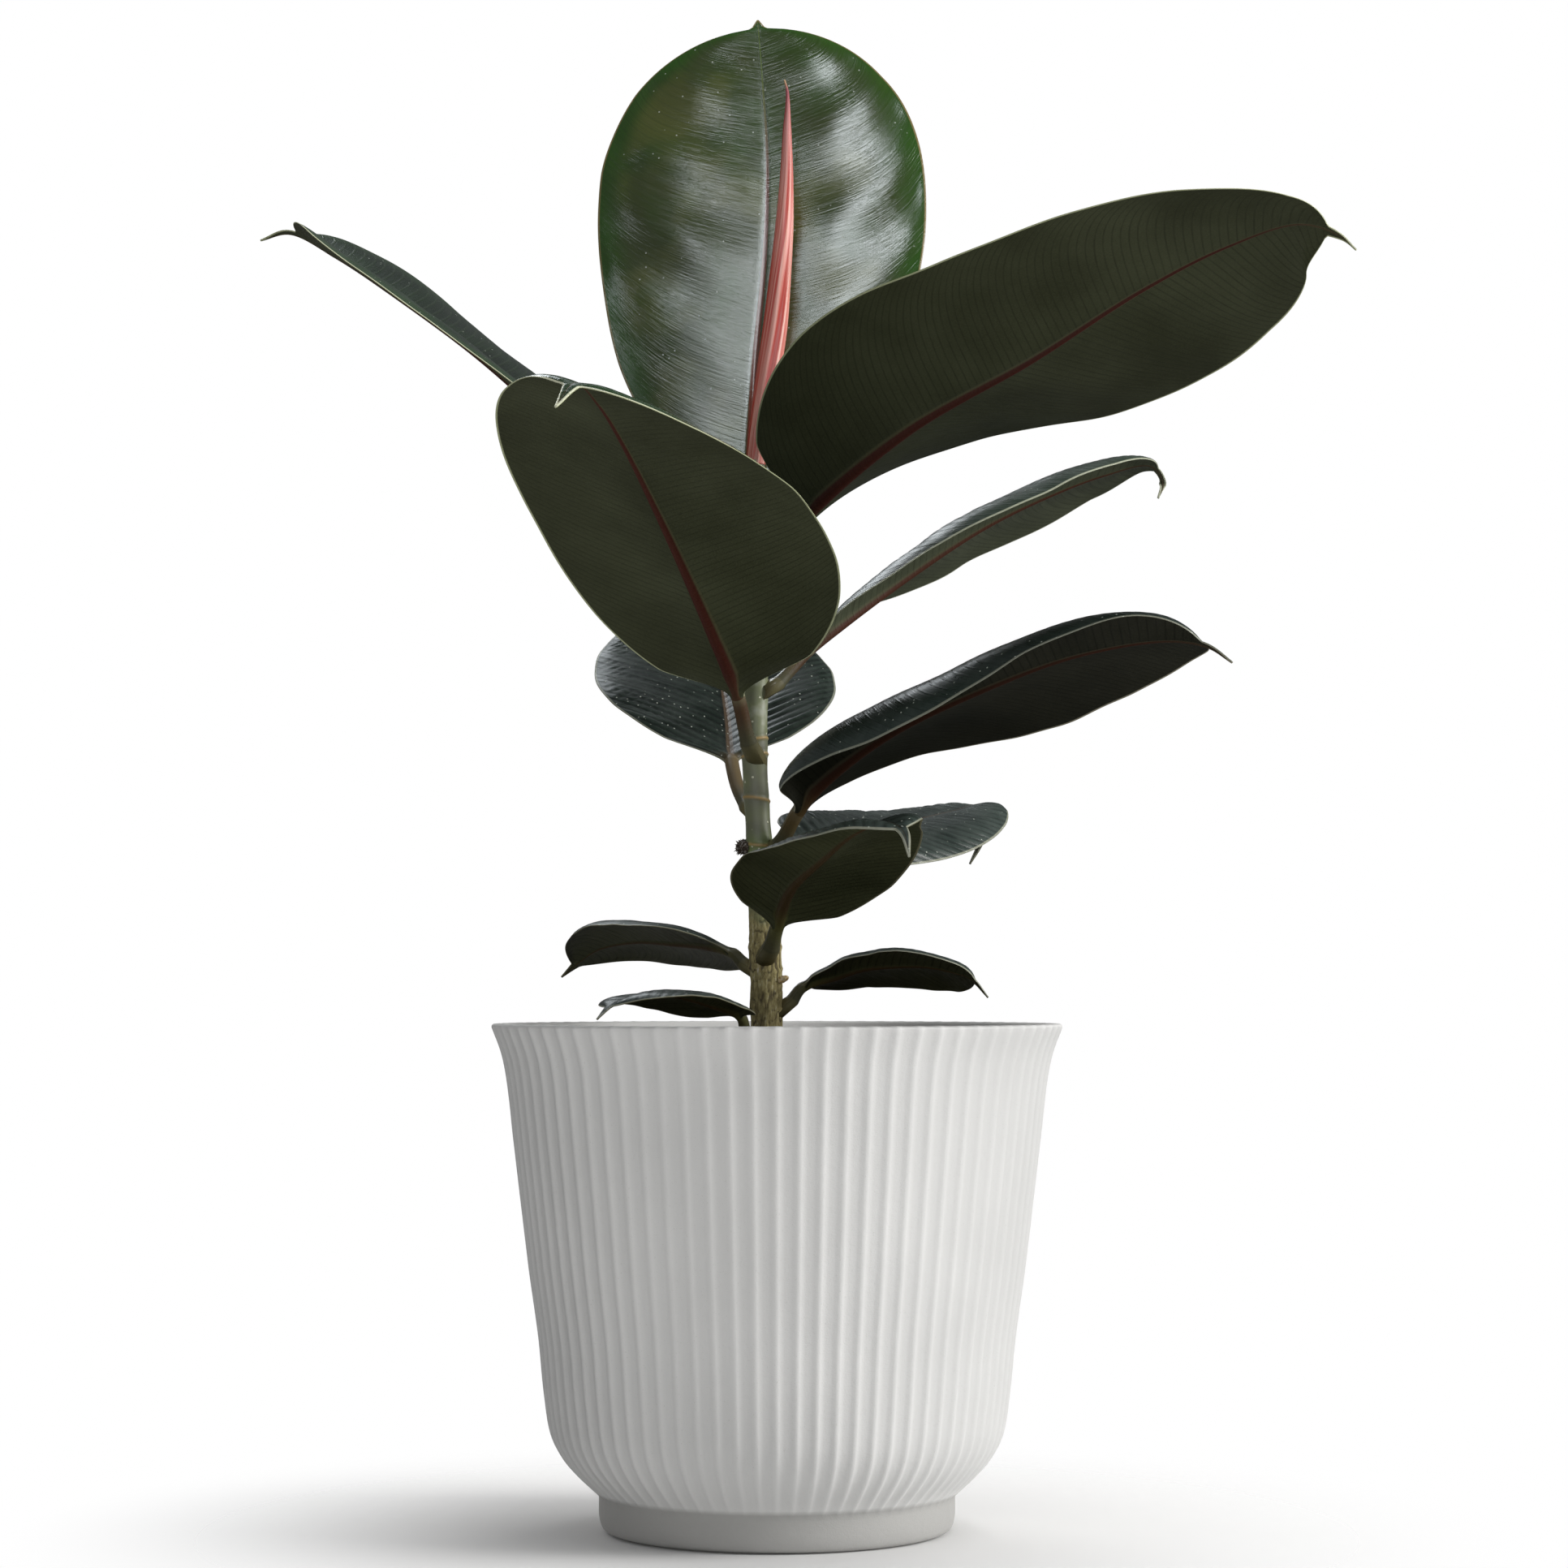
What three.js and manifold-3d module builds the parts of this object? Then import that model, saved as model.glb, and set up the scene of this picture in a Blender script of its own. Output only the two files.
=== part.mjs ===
// A young rubber fig in a fluted white pot.
// Millimetres, +Z up, the origin on the pot's axis at the ground, the front towards -Y.
import * as THREE from "three";
import { mergeVertices } from "three/addons/utils/BufferGeometryUtils.js";
import Module from "manifold-3d";

// Driving dimensions of the pot
const POT_HEIGHT = 194;
const RIM_RADIUS = 110;
const RIM_WALL = 5;
const POT_WALL = 7;
const POT_FLOOR = 20;
const POT_SIDES = 64;

// The pot's outside from the foot ring up to the rim: radius, height
const POT_OUTSIDE = [
  [63, 0],
  [66.5, 1.5],
  [68, 5],
  [68.3, 14],
  [76.9, 22],
  [82.8, 29],
  [86.8, 37],
  [89.4, 52],
  [91.8, 75],
  [95.4, 100],
  [100.6, 142],
  [105.6, 180],
  [RIM_RADIUS, POT_HEIGHT],
];

// Driving dimensions of the soil and of what stands in it
const SOIL_TOP = 165;
const SOIL_MOUND = 4;
const GAP = 0.5;
const STEM_SIDES = 14;
const STEM_FOOT = 112;
const STEM_TOP = 412;

// The stem's centre line with its radius: x, y, z, radius
const STEM = [
  [-2, 0, STEM_FOOT, 5],
  [-3, 0, 140, 6.4],
  [-4, 0, 201, 6.2],
  [-4.7, 0, 233, 6.1],
  [-6.5, 0, 258, 5.4],
  [-7, 0, 266, 4.8],
  [-8.5, 0, 290, 4.8],
  [-8.8, 0, 306, 4.8],
  [-8, 1, 320, 4.6],
  [-8.5, 3, 365, 4.3],
  [-8.5, 6, STEM_TOP, 3.7],
];

// The rolled sheath round the next leaf: x, y, z, radius
const SHEATH = [
  [-8.5, 6, STEM_TOP + GAP, 3.9],
  [-7, 7, 424, 4.7],
  [-5, 8, 438, 5.1],
  [-1, 11, 466, 5.2],
  [1, 13, 487, 4.5],
  [2.7, 15, 507, 3.8],
  [3.6, 17, 526, 2.8],
  [3.9, 19, 546, 1.8],
  [4, 20, 559, 0.9],
  [3.7, 21, 567, 0.3],
];

// The side bud and the dried stub: height on the stem, the way each points, and rings of how far out, how
// wide and how tall to each side
const BUD = {
  height: 210.5,
  points: [0.8, -0.46, 0.3],
  rings: [[0, 1.1, 1.1], [1.6, 1.5, 1.4], [3.2, 1, 0.9], [4.4, 0.2, 0.2]],
};
const STUB = {
  height: 262,
  points: [-1, -0.14, 0],
  rings: [[0, 2.4, 2.6], [1.4, 3, 3.4], [3.2, 2.2, 2.8], [4.4, 1, 1.4]],
};

// Driving dimensions that every leaf shares
const LEAF_THICKNESS = 1;
const STALK_RADIUS = 2.4;
const MIDRIB_DEPTH = 1.5;
const DRIP_WIDTH = 2.6;
const BLADE_SECTIONS = 15;
const ACROSS = [-1, -0.75, -0.42, -0.07, 0, 0.07, 0.42, 0.75, 1];

// Each leaf: the stalk's points from the stem, the midrib's points from base to tip, the full width, where
// along the blade it is widest, where its upper face looks (base to tip), and how each half folds up from the
// midrib and curls down to its margin in degrees (base to tip).
const LEAVES = [
  {
    name: "top_leaf",
    stalk: [[-9.6, 9.4, 383], [-11, 15, 392]],
    blade: [[-11, 20, 405], [-9, 26, 452], [-5, 34, 499], [-4, 44, 539], [-6, 54, 574], [-8, 62, 601]],
    width: 132,
    widest: 0.6,
    base: [1.9, 2],
    tip: [2.3, 2],
    drip: 4,
    looks: [[0, -1, 0.1], [0, -1, 0.3]],
    left: { share: 1.04, fold: [6], curl: [20] },
    right: { share: 0.97, fold: [6], curl: [20] },
  },
  {
    name: "upper_right_leaf",
    stalk: [[-4.4, -0.5, 358], [4, -11, 372]],
    blade: [
      [11, -25, 390], [48, -50, 416], [94, -80, 439], [132, -100, 461],
      [162, -112, 475], [188, -120, 482], [202, -124, 477], [207, -128, 471],
    ],
    width: 126,
    widest: 0.46,
    base: [2.8, 2],
    tip: [2.4, 1.8],
    looks: [[0.1, 0.62, 0.75], [-0.2, 0.5, 0.87], [0, 0.4, 0.9]],
    left: { fold: [38, -12], curl: [0, 15] },
    right: { fold: [32, -8], curl: [0, 25] },
  },
  {
    name: "front_leaf",
    stalk: [[-9.5, -5.2, 297], [-12, -11, 306]],
    blade: [
      [-15, -18, 319], [-27, -48, 347], [-41, -88, 376], [-54, -130, 400],
      [-62, -158, 411], [-69, -180, 415], [-75, -192, 405],
    ],
    width: 108,
    widest: 0.54,
    base: [2.7, 2],
    looks: [[0.1, 0.6, 0.6], [0.1, 0.3, 0.9]],
    left: { share: 1.14, fold: [14, -6], curl: [20, 35] },
    right: { share: 0.94, fold: [8], curl: [25, 35] },
  },
  {
    name: "middle_right_leaf",
    stalk: [[-3, 1.8, 322], [5, 8, 331]],
    blade: [
      [13, 14, 340], [25, 20, 350], [50, 30, 369], [81, 38, 390], [106, 44, 403],
      [131, 48, 413], [150, 50, 417], [155, 51, 411], [153, 51, 404],
    ],
    width: 94,
    widest: 0.54,
    tip: [2.7, 2],
    drip: 13,
    power: 1.5,
    looks: [[-0.2, 0.2, 1], [0, 0.22, 1], [0.1, 0.2, 1]],
    left: { fold: [30, 10, 10], curl: [20, 25, 20] },
    right: { fold: [25, 16, 16], curl: [55, 75, 20] },
  },
  {
    name: "lower_right_leaf",
    stalk: [[-1, -2, 259], [3, -8, 266]],
    blade: [
      [8, -14, 275], [18, -22, 286], [42, -40, 303], [76, -65, 318],
      [109, -85, 329], [141, -103, 333], [155, -112, 330], [163, -118, 324],
    ],
    width: 104,
    widest: 0.48,
    tip: [2.4, 1.7],
    power: 1.5,
    looks: [[-0.2, 0.3, 1], [0, 0.27, 1], [0.1, 0.3, 1]],
    left: { fold: [30, 14, 24], curl: [20, 45, 30] },
    right: { fold: [5, 14, 42], curl: [50, 100, 50] },
  },
  {
    name: "upper_left_leaf",
    stalk: [[-13.2, 3.5, 340], [-31, 20, 376]],
    blade: [
      [-51, 30, 401], [-84, 45, 437], [-117, 58, 467], [-152, 70, 493],
      [-179, 80, 511], [-199, 86, 521], [-214, 90, 516],
    ],
    width: 100,
    looks: [[0.3, 0.05, 1], [0.1, 0, 1]],
    left: { fold: [10], curl: [60, 40] },
    right: { fold: [12], curl: [35, 30] },
  },
  {
    name: "back_leaf",
    stalk: [[-9.5, 5.4, 275], [-15, 18, 285]],
    blade: [
      [-18, 32, 297], [-20, 58, 315], [-23, 86, 334],
      [-26, 112, 355], [-29, 132, 378], [-30, 142, 383],
    ],
    width: 100,
    widest: 0.46,
    base: [2, 2],
    looks: [[0, -0.5, 0.9], [0, -0.4, 0.9]],
    left: { share: 1.06, fold: [24, 10], curl: [25, 40] },
    right: { share: 0.94, fold: [24, 5], curl: [30, 60] },
  },
  {
    name: "back_right_leaf",
    stalk: [[-3, 5, 250], [3, 12, 257]],
    blade: [
      [8, 18, 261], [32, 40, 269], [54, 68, 275], [72, 92, 280],
      [83, 107, 283], [88, 114, 278], [85, 116, 269], [80, 115, 259],
    ],
    width: 80,
    tip: [2.2, 1.5],
    drip: 21,
    looks: [[0.1, -0.35, 1], [0.2, -0.1, 1]],
    left: { fold: [22, -2, -12], curl: [35] },
    right: { share: 0.8, fold: [4, 8, 34], curl: [40, 50, 50] },
  },
  {
    name: "lower_front_leaf",
    stalk: [[-3.6, -6.8, 219], [-2, -12, 224]],
    blade: [
      [0, -18, 231], [5, -38, 244], [17, -66, 255], [29, -95, 264],
      [39, -112, 267], [45, -124, 263], [47, -130, 254],
    ],
    width: 76,
    widest: 0.38,
    base: [2.3, 2],
    tip: [1.8, 1.6],
    looks: [[-0.3, 0.4, 0.9], [-0.1, 0.1, 1]],
    left: { share: 1, fold: [-14, 14, 24], curl: [5, 30, 30] },
    right: { share: 0.7, fold: [50, 26, 8], curl: [40, 55, 90] },
  },
  {
    name: "lower_left_leaf",
    stalk: [[-10.2, 3.4, 214], [-14, 7, 218]],
    blade: [
      [-17, 10, 221], [-29, 22, 224], [-40, 33, 225], [-56, 46, 226],
      [-72, 58, 223], [-81, 64, 217], [-87, 67, 212],
    ],
    width: 70,
    drip: 8,
    looks: [[0.1, 0.3, 1], [-0.1, 0.3, 1]],
    left: { fold: [18, 10], curl: [45, 60] },
    right: { fold: [4, 5], curl: [25] },
  },
  {
    name: "rim_left_leaf",
    stalk: [[-8.6, -5.4, 185], [-12, -10, 191]],
    blade: [
      [-14, -16, 197], [-24, -24, 201], [-39, -34, 205],
      [-51, -42, 205], [-61, -49, 202], [-67, -53, 196],
    ],
    width: 54,
    tip: [2.5, 1.8],
    drip: 7,
    looks: [[0.1, 0.12, 1], [-0.1, 0.05, 1]],
    left: { fold: [5], curl: [35, 30] },
    right: { fold: [-2, 10], curl: [20, 30] },
  },
  {
    name: "rim_right_leaf",
    stalk: [[3.4, 0, 199], [6, 1, 203]],
    blade: [
      [10, 2, 208], [23, 2, 212], [33, 1, 215], [43, 0, 216],
      [57, -3, 216], [67, -6, 214], [75, -8, 211], [81, -10, 204],
    ],
    width: 58,
    widest: 0.54,
    tip: [2.6, 1.9],
    drip: 8,
    looks: [[-0.1, 0.25, 1], [0.1, 0.25, 1]],
    left: { fold: [9, -3], curl: [20] },
    right: { fold: [10], curl: [45, 35] },
  },
];

const MATERIALS = {
  pot: new THREE.MeshStandardMaterial({ color: 0xd9d9d5, roughness: 0.75 }),
  soil: new THREE.MeshStandardMaterial({ color: 0x2b211a, roughness: 1 }),
  bark: new THREE.MeshStandardMaterial({ color: 0x7b7462, roughness: 0.85 }),
  leaf: new THREE.MeshStandardMaterial({ color: 0x2a3226, roughness: 0.35 }),
  sheath: new THREE.MeshStandardMaterial({ color: 0xd4776a, roughness: 0.45 }),
  bud: new THREE.MeshStandardMaterial({ color: 0xd8c49a, roughness: 0.7 }),
  stub: new THREE.MeshStandardMaterial({ color: 0x2e231c, roughness: 1 }),
};

const { lerp, clamp, degToRad, smoothstep } = THREE.MathUtils;

// A value given for the base, or base and tip, or base, middle and tip, read at u from 0 to 1
function along(values, u) {
  if (values.length === 1) return values[0];
  if (values.length === 2) return lerp(values[0], values[1], u);
  const [base, middle, tip] = values;
  return base * (1 - u) * (1 - 2 * u) + middle * 4 * u * (1 - u) + tip * u * (2 * u - 1);
}

// A closed surface over rings that hold the same number of points, with a fan over each end. The first fan's
// middle can be given.
function loft(rings, foot) {
  const count = rings[0].length;
  const points = rings.flat();
  const faces = [];
  for (let i = 0; i + 1 < rings.length; i++) {
    for (let k = 0; k < count; k++) {
      const a = i * count + k;
      const b = i * count + ((k + 1) % count);
      faces.push(a, b, a + count, b, b + count, a + count);
    }
  }
  const lastRing = (rings.length - 1) * count;
  for (const start of [0, lastRing]) {
    const middle = points.length;
    const sum = points.slice(start, start + count).reduce((all, p) => all.add(p), new THREE.Vector3());
    points.push(start === 0 && foot ? foot : sum.divideScalar(count));
    for (let k = 0; k < count; k++) {
      const a = start + k;
      const b = start + ((k + 1) % count);
      if (start === 0) faces.push(middle, b, a);
      else faces.push(middle, a, b);
    }
  }
  let volume = 0;
  for (let i = 0; i < faces.length; i += 3) {
    const [a, b, c] = faces.slice(i, i + 3).map((f) => points[f]);
    volume += a.dot(b.clone().cross(c));
  }
  if (volume < 0) faces.reverse();
  const geometry = new THREE.BufferGeometry().setFromPoints(points);
  geometry.setIndex(faces);
  geometry.computeVertexNormals();
  return geometry;
}

// A round stick with level rings, through points that each give x, y, z and radius
function stick(points, sides) {
  const rings = points.map(([x, y, z, radius]) =>
    Array.from({ length: sides }, (_, k) => {
      const angle = (2 * Math.PI * k) / sides;
      return new THREE.Vector3(x + Math.cos(angle) * radius, y + Math.sin(angle) * radius, z);
    }),
  );
  return loft(rings);
}

// The stem's centre and radius at a height
function stemAt(z) {
  const above = clamp(STEM.findIndex((point) => point[2] >= z), 1, STEM.length - 1);
  const [low, high] = [STEM[above - 1], STEM[above]];
  const f = clamp((z - low[2]) / (high[2] - low[2]), 0, 1);
  return { x: lerp(low[0], high[0], f), y: lerp(low[1], high[1], f), radius: lerp(low[3], high[3], f) };
}

// A point slid back along a direction until it stands the small gap off the stem's bark
function slideToStem(point, direction) {
  const flat = Math.hypot(direction.x, direction.y);
  const [dx, dy] = [-direction.x / flat, -direction.y / flat];
  let far = 0;
  for (let turn = 0; turn < 12; turn++) {
    const { x, y, radius } = stemAt(point.z - (direction.z / flat) * far);
    const [px, py] = [point.x - x, point.y - y];
    const middle = px * dx + py * dy;
    const off = px * px + py * py - (radius + GAP) ** 2;
    far = -middle - Math.sqrt(Math.max(middle * middle - off, 0));
  }
  return point.clone().addScaledVector(direction, -far / flat);
}

// Half the blade's width from 0 to 1: rounded at the base, fuller or finer towards the tip
function outline(t, { widest = 0.5, base = [2.2, 2], tip = [2.2, 1.5] }) {
  const [power, root] = t < widest ? base : tip;
  const away = t < widest ? (widest - t) / widest : (t - widest) / (1 - widest);
  return Math.max(1 - Math.min(away, 1) ** power, 0) ** (1 / root);
}

// One half of the blade's cross-section from the midrib out: how far across and how far up at each share
function halfSection({ share = 1, fold, curl }, u, width, fullness, power, shares) {
  const rise = along(fold, u);
  const bend = along(curl, u) * (curl.length > 1 ? 1 : 0.35 + 0.65 * fullness);
  const steps = 14;
  const walked = [[0, 0]];
  for (let i = 1; i <= steps; i++) {
    const angle = degToRad(rise - bend * ((i - 0.5) / steps) ** power);
    const [x, z] = walked[i - 1];
    const step = (width * share) / steps;
    walked.push([x + Math.cos(angle) * step, z + Math.sin(angle) * step]);
  }
  return shares.map((s) => {
    const i = Math.min(Math.floor(s * steps), steps - 1);
    const f = s * steps - i;
    return [lerp(walked[i][0], walked[i + 1][0], f), lerp(walked[i][1], walked[i + 1][1], f)];
  });
}

// A leaf as one body: a round stalk that runs on as the midrib, with a thin blade on both sides of it
function leafGeometry(leaf) {
  const { stalk, blade, width, drip = 14, power = 2, looks, left, right } = leaf;
  const controls = [...stalk, ...blade].map((point) => new THREE.Vector3(...point));
  const curve = new THREE.CatmullRomCurve3(controls, false, "centripetal");
  const parts = (controls.length - 1) * 40;
  curve.arcLengthDivisions = parts;
  const lengths = curve.getLengths(parts);
  const total = lengths[parts];
  const stalkLength = lengths[stalk.length * 40];
  const bladeLength = total - stalkLength;
  const bodyEnd = (bladeLength - drip) / bladeLength;
  const faces = looks.map((look) => new THREE.Vector3(...look).normalize());
  const shares = ACROSS.filter((s) => s >= 0);

  const frameAt = (distance, u) => {
    const centre = curve.getPointAt(distance / total);
    const tangent = curve.getTangentAt(distance / total);
    const look = ["x", "y", "z"].map((axis) => along(faces.map((face) => face[axis]), u));
    const up = new THREE.Vector3(...look);
    up.addScaledVector(tangent, -up.dot(tangent)).normalize();
    return { centre, tangent, up, side: tangent.clone().cross(up) };
  };

  const ringAt = (distance) => {
    const u = clamp((distance - stalkLength) / bladeLength, 0, 1);
    const { centre, up, side } = frameAt(distance, u);
    const body = (width / 2) * outline(Math.min(u / bodyEnd, 1), leaf);
    const beyond = clamp((u - bodyEnd) / (1 - bodyEnd), 0, 1);
    const tail = DRIP_WIDTH * (1 - beyond) * smoothstep(u, 0, 0.06) + 0.3;
    const half = Math.hypot(body, tail);
    const fullness = half / (width / 2);
    const section = [left, right].map((part) => halfSection(part, u, half, fullness, power, shares));
    const across = ACROSS.map((s) => {
      const [x, z] = section[s < 0 ? 0 : 1][shares.indexOf(Math.abs(s))];
      return [s < 0 ? -x : x, z];
    });
    const isBlade = smoothstep(u, 0, 0.06);
    const rib = MIDRIB_DEPTH * (1 - 0.8 * u);
    const place = (round, flat) => {
      const x = lerp(round[0], flat[0], isBlade);
      const z = lerp(round[1], flat[1], isBlade);
      return centre.clone().addScaledVector(side, x).addScaledVector(up, z);
    };
    const upper = [];
    const under = [];
    across.forEach(([x, z], i) => {
      const [before, after] = [across[Math.max(i - 1, 0)], across[Math.min(i + 1, across.length - 1)]];
      const slope = new THREE.Vector2(after[0] - before[0], after[1] - before[1]).normalize();
      const turn = (Math.PI / 2) * ACROSS[i];
      const round = [Math.sin(turn) * STALK_RADIUS, Math.cos(turn) * STALK_RADIUS + 0.2];
      const over = LEAF_THICKNESS / 2;
      const below = over + (ACROSS[i] === 0 ? rib : 0);
      upper.push(place(round, [x - slope.y * over, z + slope.x * over]));
      under.unshift(place([round[0], -round[1]], [x + slope.y * below, z - slope.x * below]));
    });
    return [...upper, ...under];
  };

  const reach = Math.min(stalkLength * 0.4, 6);
  const { centre, tangent } = frameAt(reach, 0);
  const foot = ringAt(reach).map((point) => slideToStem(point, tangent));
  const rings = [foot, ringAt(reach)];
  for (let i = 0; i <= BLADE_SECTIONS; i++) {
    const even = i / BLADE_SECTIONS;
    const eased = 0.5 - 0.5 * Math.cos(Math.PI * even);
    rings.push(ringAt(stalkLength + (bladeLength * (even + eased)) / 2));
  }
  return loft(rings, slideToStem(centre, tangent));
}

// The pot turned in one piece: foot ring, belly, flared rim, and the hollow that holds the soil
function potGeometry() {
  const profile = [
    [0, 0],
    ...POT_OUTSIDE,
    [RIM_RADIUS - RIM_WALL, POT_HEIGHT],
    ...hollow(0).reverse(),
  ];
  return turned(profile);
}

// The hollow's outline from the floor's middle up to below the rim, drawn in by a clearance
function hollow(clearance) {
  const wall = POT_OUTSIDE.filter(([, z]) => z > 25 && z < POT_HEIGHT);
  return [
    [0, POT_FLOOR + clearance],
    [58, POT_FLOOR + clearance],
    ...wall.map(([r, z]) => [r - POT_WALL - clearance, z]),
  ];
}

// The soil fills the hollow and has an opening that follows the buried end of the stem
function soilGeometry() {
  const inside = hollow(GAP).filter(([, z]) => z < SOIL_TOP);
  const top = outsideRadius(SOIL_TOP) - POT_WALL - GAP;
  const profile = [...inside, [top, SOIL_TOP], [40, SOIL_TOP + SOIL_MOUND / 2], [0, SOIL_TOP + SOIL_MOUND]];
  const buried = [
    [STEM[0][0], STEM[0][1], STEM_FOOT - GAP, STEM[0][3] + GAP],
    [-3, 0, 140, STEM[1][3] + 2 * GAP],
    [-3.7, 0, 182, STEM[2][3] + 2 * GAP],
  ];
  return toGeometry(toSolid(turned(profile)).subtract(toSolid(stick(buried, STEM_SIDES))));
}

function outsideRadius(height) {
  const above = POT_OUTSIDE.findIndex(([, z]) => z >= height);
  const [r1, z1] = POT_OUTSIDE[above];
  const [r0, z0] = POT_OUTSIDE[above - 1];
  return lerp(r0, r1, (height - z0) / (z1 - z0));
}

// A profile of radius and height turned once round the pot's axis
function turned(profile) {
  const points = profile.map(([r, z]) => new THREE.Vector2(r, z));
  return new THREE.LatheGeometry(points, POT_SIDES).rotateX(Math.PI / 2);
}

const wasm = await Module();
wasm.setup();

function toSolid(geometry) {
  const bare = new THREE.BufferGeometry();
  bare.setAttribute("position", geometry.getAttribute("position"));
  bare.setIndex(geometry.index);
  const merged = mergeVertices(bare, 1e-3);
  const vertProperties = merged.attributes.position.array;
  const triVerts = new Uint32Array(merged.index.array);
  return new wasm.Manifold(new wasm.Mesh({ numProp: 3, vertProperties, triVerts }));
}

function toGeometry(solid) {
  const { vertProperties, triVerts } = solid.getMesh();
  const geometry = new THREE.BufferGeometry();
  geometry.setAttribute("position", new THREE.BufferAttribute(vertProperties, 3));
  geometry.setIndex(new THREE.BufferAttribute(triVerts, 1));
  geometry.computeVertexNormals();
  return geometry;
}

// A knob on the bark: it starts the small gap off the stem and grows out the way it points
function knobGeometry({ height, points, rings }) {
  const way = new THREE.Vector3(...points).normalize();
  const { x, y, radius } = stemAt(height);
  const far = (radius + GAP) / Math.hypot(way.x, way.y);
  const base = new THREE.Vector3(x + way.x * far, y + way.y * far, height);
  const side = new THREE.Vector3(-way.y, way.x, 0).normalize();
  const up = way.clone().cross(side);
  const around = rings.map(([out, wide, tall]) =>
    Array.from({ length: 10 }, (_, k) => {
      const angle = (2 * Math.PI * k) / 10;
      const point = base.clone().addScaledVector(way, out);
      return point.addScaledVector(side, Math.cos(angle) * wide).addScaledVector(up, Math.sin(angle) * tall);
    }),
  );
  return loft(around);
}

const group = new THREE.Group();

function add(name, geometry, material) {
  const mesh = new THREE.Mesh(geometry, material);
  mesh.name = name;
  group.add(mesh);
}

add("pot", potGeometry(), MATERIALS.pot);
add("potting_soil", soilGeometry(), MATERIALS.soil);
add("stem", stick(STEM, STEM_SIDES), MATERIALS.bark);
add("new_leaf_sheath", stick(SHEATH, STEM_SIDES), MATERIALS.sheath);
for (const leaf of LEAVES) add(leaf.name, leafGeometry(leaf), MATERIALS.leaf);
add("side_bud", knobGeometry(BUD), MATERIALS.bud);
add("dried_stub", knobGeometry(STUB), MATERIALS.stub);

export default group;
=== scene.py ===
"""Dresses a young rubber fig in a fluted white pot.

Sizes inside the classes are millimetres in the CAD frame: +Z up, the front towards -Y, the origin on the
pot's axis at the ground. Meshes are written in metres.
"""

import logging
import math
from dataclasses import dataclass, field
from enum import Enum, IntEnum
from itertools import product

import bpy
import numpy as np
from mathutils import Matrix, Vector


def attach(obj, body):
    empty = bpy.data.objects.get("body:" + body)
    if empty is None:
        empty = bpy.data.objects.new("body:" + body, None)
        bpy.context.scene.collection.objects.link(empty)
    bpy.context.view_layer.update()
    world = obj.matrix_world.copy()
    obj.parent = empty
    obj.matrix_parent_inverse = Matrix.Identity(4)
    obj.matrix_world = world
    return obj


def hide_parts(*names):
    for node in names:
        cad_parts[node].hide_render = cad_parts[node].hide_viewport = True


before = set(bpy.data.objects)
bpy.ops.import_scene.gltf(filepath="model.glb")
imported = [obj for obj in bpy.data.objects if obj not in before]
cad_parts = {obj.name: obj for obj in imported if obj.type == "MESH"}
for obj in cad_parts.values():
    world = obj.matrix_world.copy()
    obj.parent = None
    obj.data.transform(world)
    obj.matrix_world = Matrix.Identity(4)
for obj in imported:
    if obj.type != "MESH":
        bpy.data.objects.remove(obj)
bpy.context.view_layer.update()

LOG = logging.getLogger("rubber_fig")
MM = 0.001
Numbers = np.ndarray
Point = tuple[float, float, float]
Stops = tuple[tuple[float, str], ...]
# What a leaf's points carry: where along the midrib their vein starts, how far they are from the midrib
# and from the margin, all in mm; their distance from the midrib as a share of its half width; and how far
# along the midrib they are, in mm and as a share
LEAF_MARKS = ("vein", "across", "edge", "rib", "along", "share")


def linear(code: str) -> tuple[float, float, float, float]:
    """Turns an sRGB hex colour into linear light.

    Args:
        code: the colour as #rrggbb.

    Returns:
        Red, green, blue and full alpha.
    """
    parts = [int(code[i : i + 2], 16) / 255 for i in (1, 3, 5)]
    light = [c / 12.92 if c <= 0.04045 else ((c + 0.055) / 1.055) ** 2.4 for c in parts]
    return (*light, 1.0)


def scale_for(size: float, unit: float = MM) -> float:
    """Works out a pattern's scale from the real size of one of its features.

    Args:
        size: how wide one feature is in mm.
        unit: what one mm is in the coordinates that the pattern is laid in.

    Returns:
        The scale.
    """
    return 1 / (size * unit)


def wire(tree: bpy.types.NodeTree, node: bpy.types.Node, links: dict[str | int, object]) -> None:
    """Sets a node's inputs.

    Args:
        tree: the node's tree.
        node: the node.
        links: what each input takes, by name or place: a socket, a node's first output, or a value.
    """
    for name, value in links.items():
        if isinstance(value, bpy.types.Node):
            value = value.outputs[0]
        if isinstance(value, bpy.types.NodeSocket):
            tree.links.new(value, node.inputs[name])
        else:
            node.inputs[name].default_value = value


def add(tree: bpy.types.NodeTree, kind: str, links: dict | None = None, **settings: object) -> bpy.types.Node:
    """Adds one node with its settings and links.

    Args:
        tree: the node tree that the node joins.
        kind: Blender's name for the node.
        links: what each input takes, as in wire.
        settings: the node's own properties.

    Returns:
        The new node.
    """
    made = tree.nodes.new(kind)
    for name, value in settings.items():
        setattr(made, name, value)
    wire(tree, made, links or {})
    return made


def new_material(name: str) -> tuple[bpy.types.Material, bpy.types.NodeTree, bpy.types.Node]:
    """Starts a material that has only its shader and output.

    Args:
        name: the finish's name.

    Returns:
        The material, its node tree and its shader.
    """
    material = bpy.data.materials.new(name)
    material.use_nodes = True
    tree = material.node_tree
    tree.nodes.clear()
    shader = add(tree, "ShaderNodeBsdfPrincipled")
    add(tree, "ShaderNodeOutputMaterial", {"Surface": shader})
    return material, tree, shader


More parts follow.
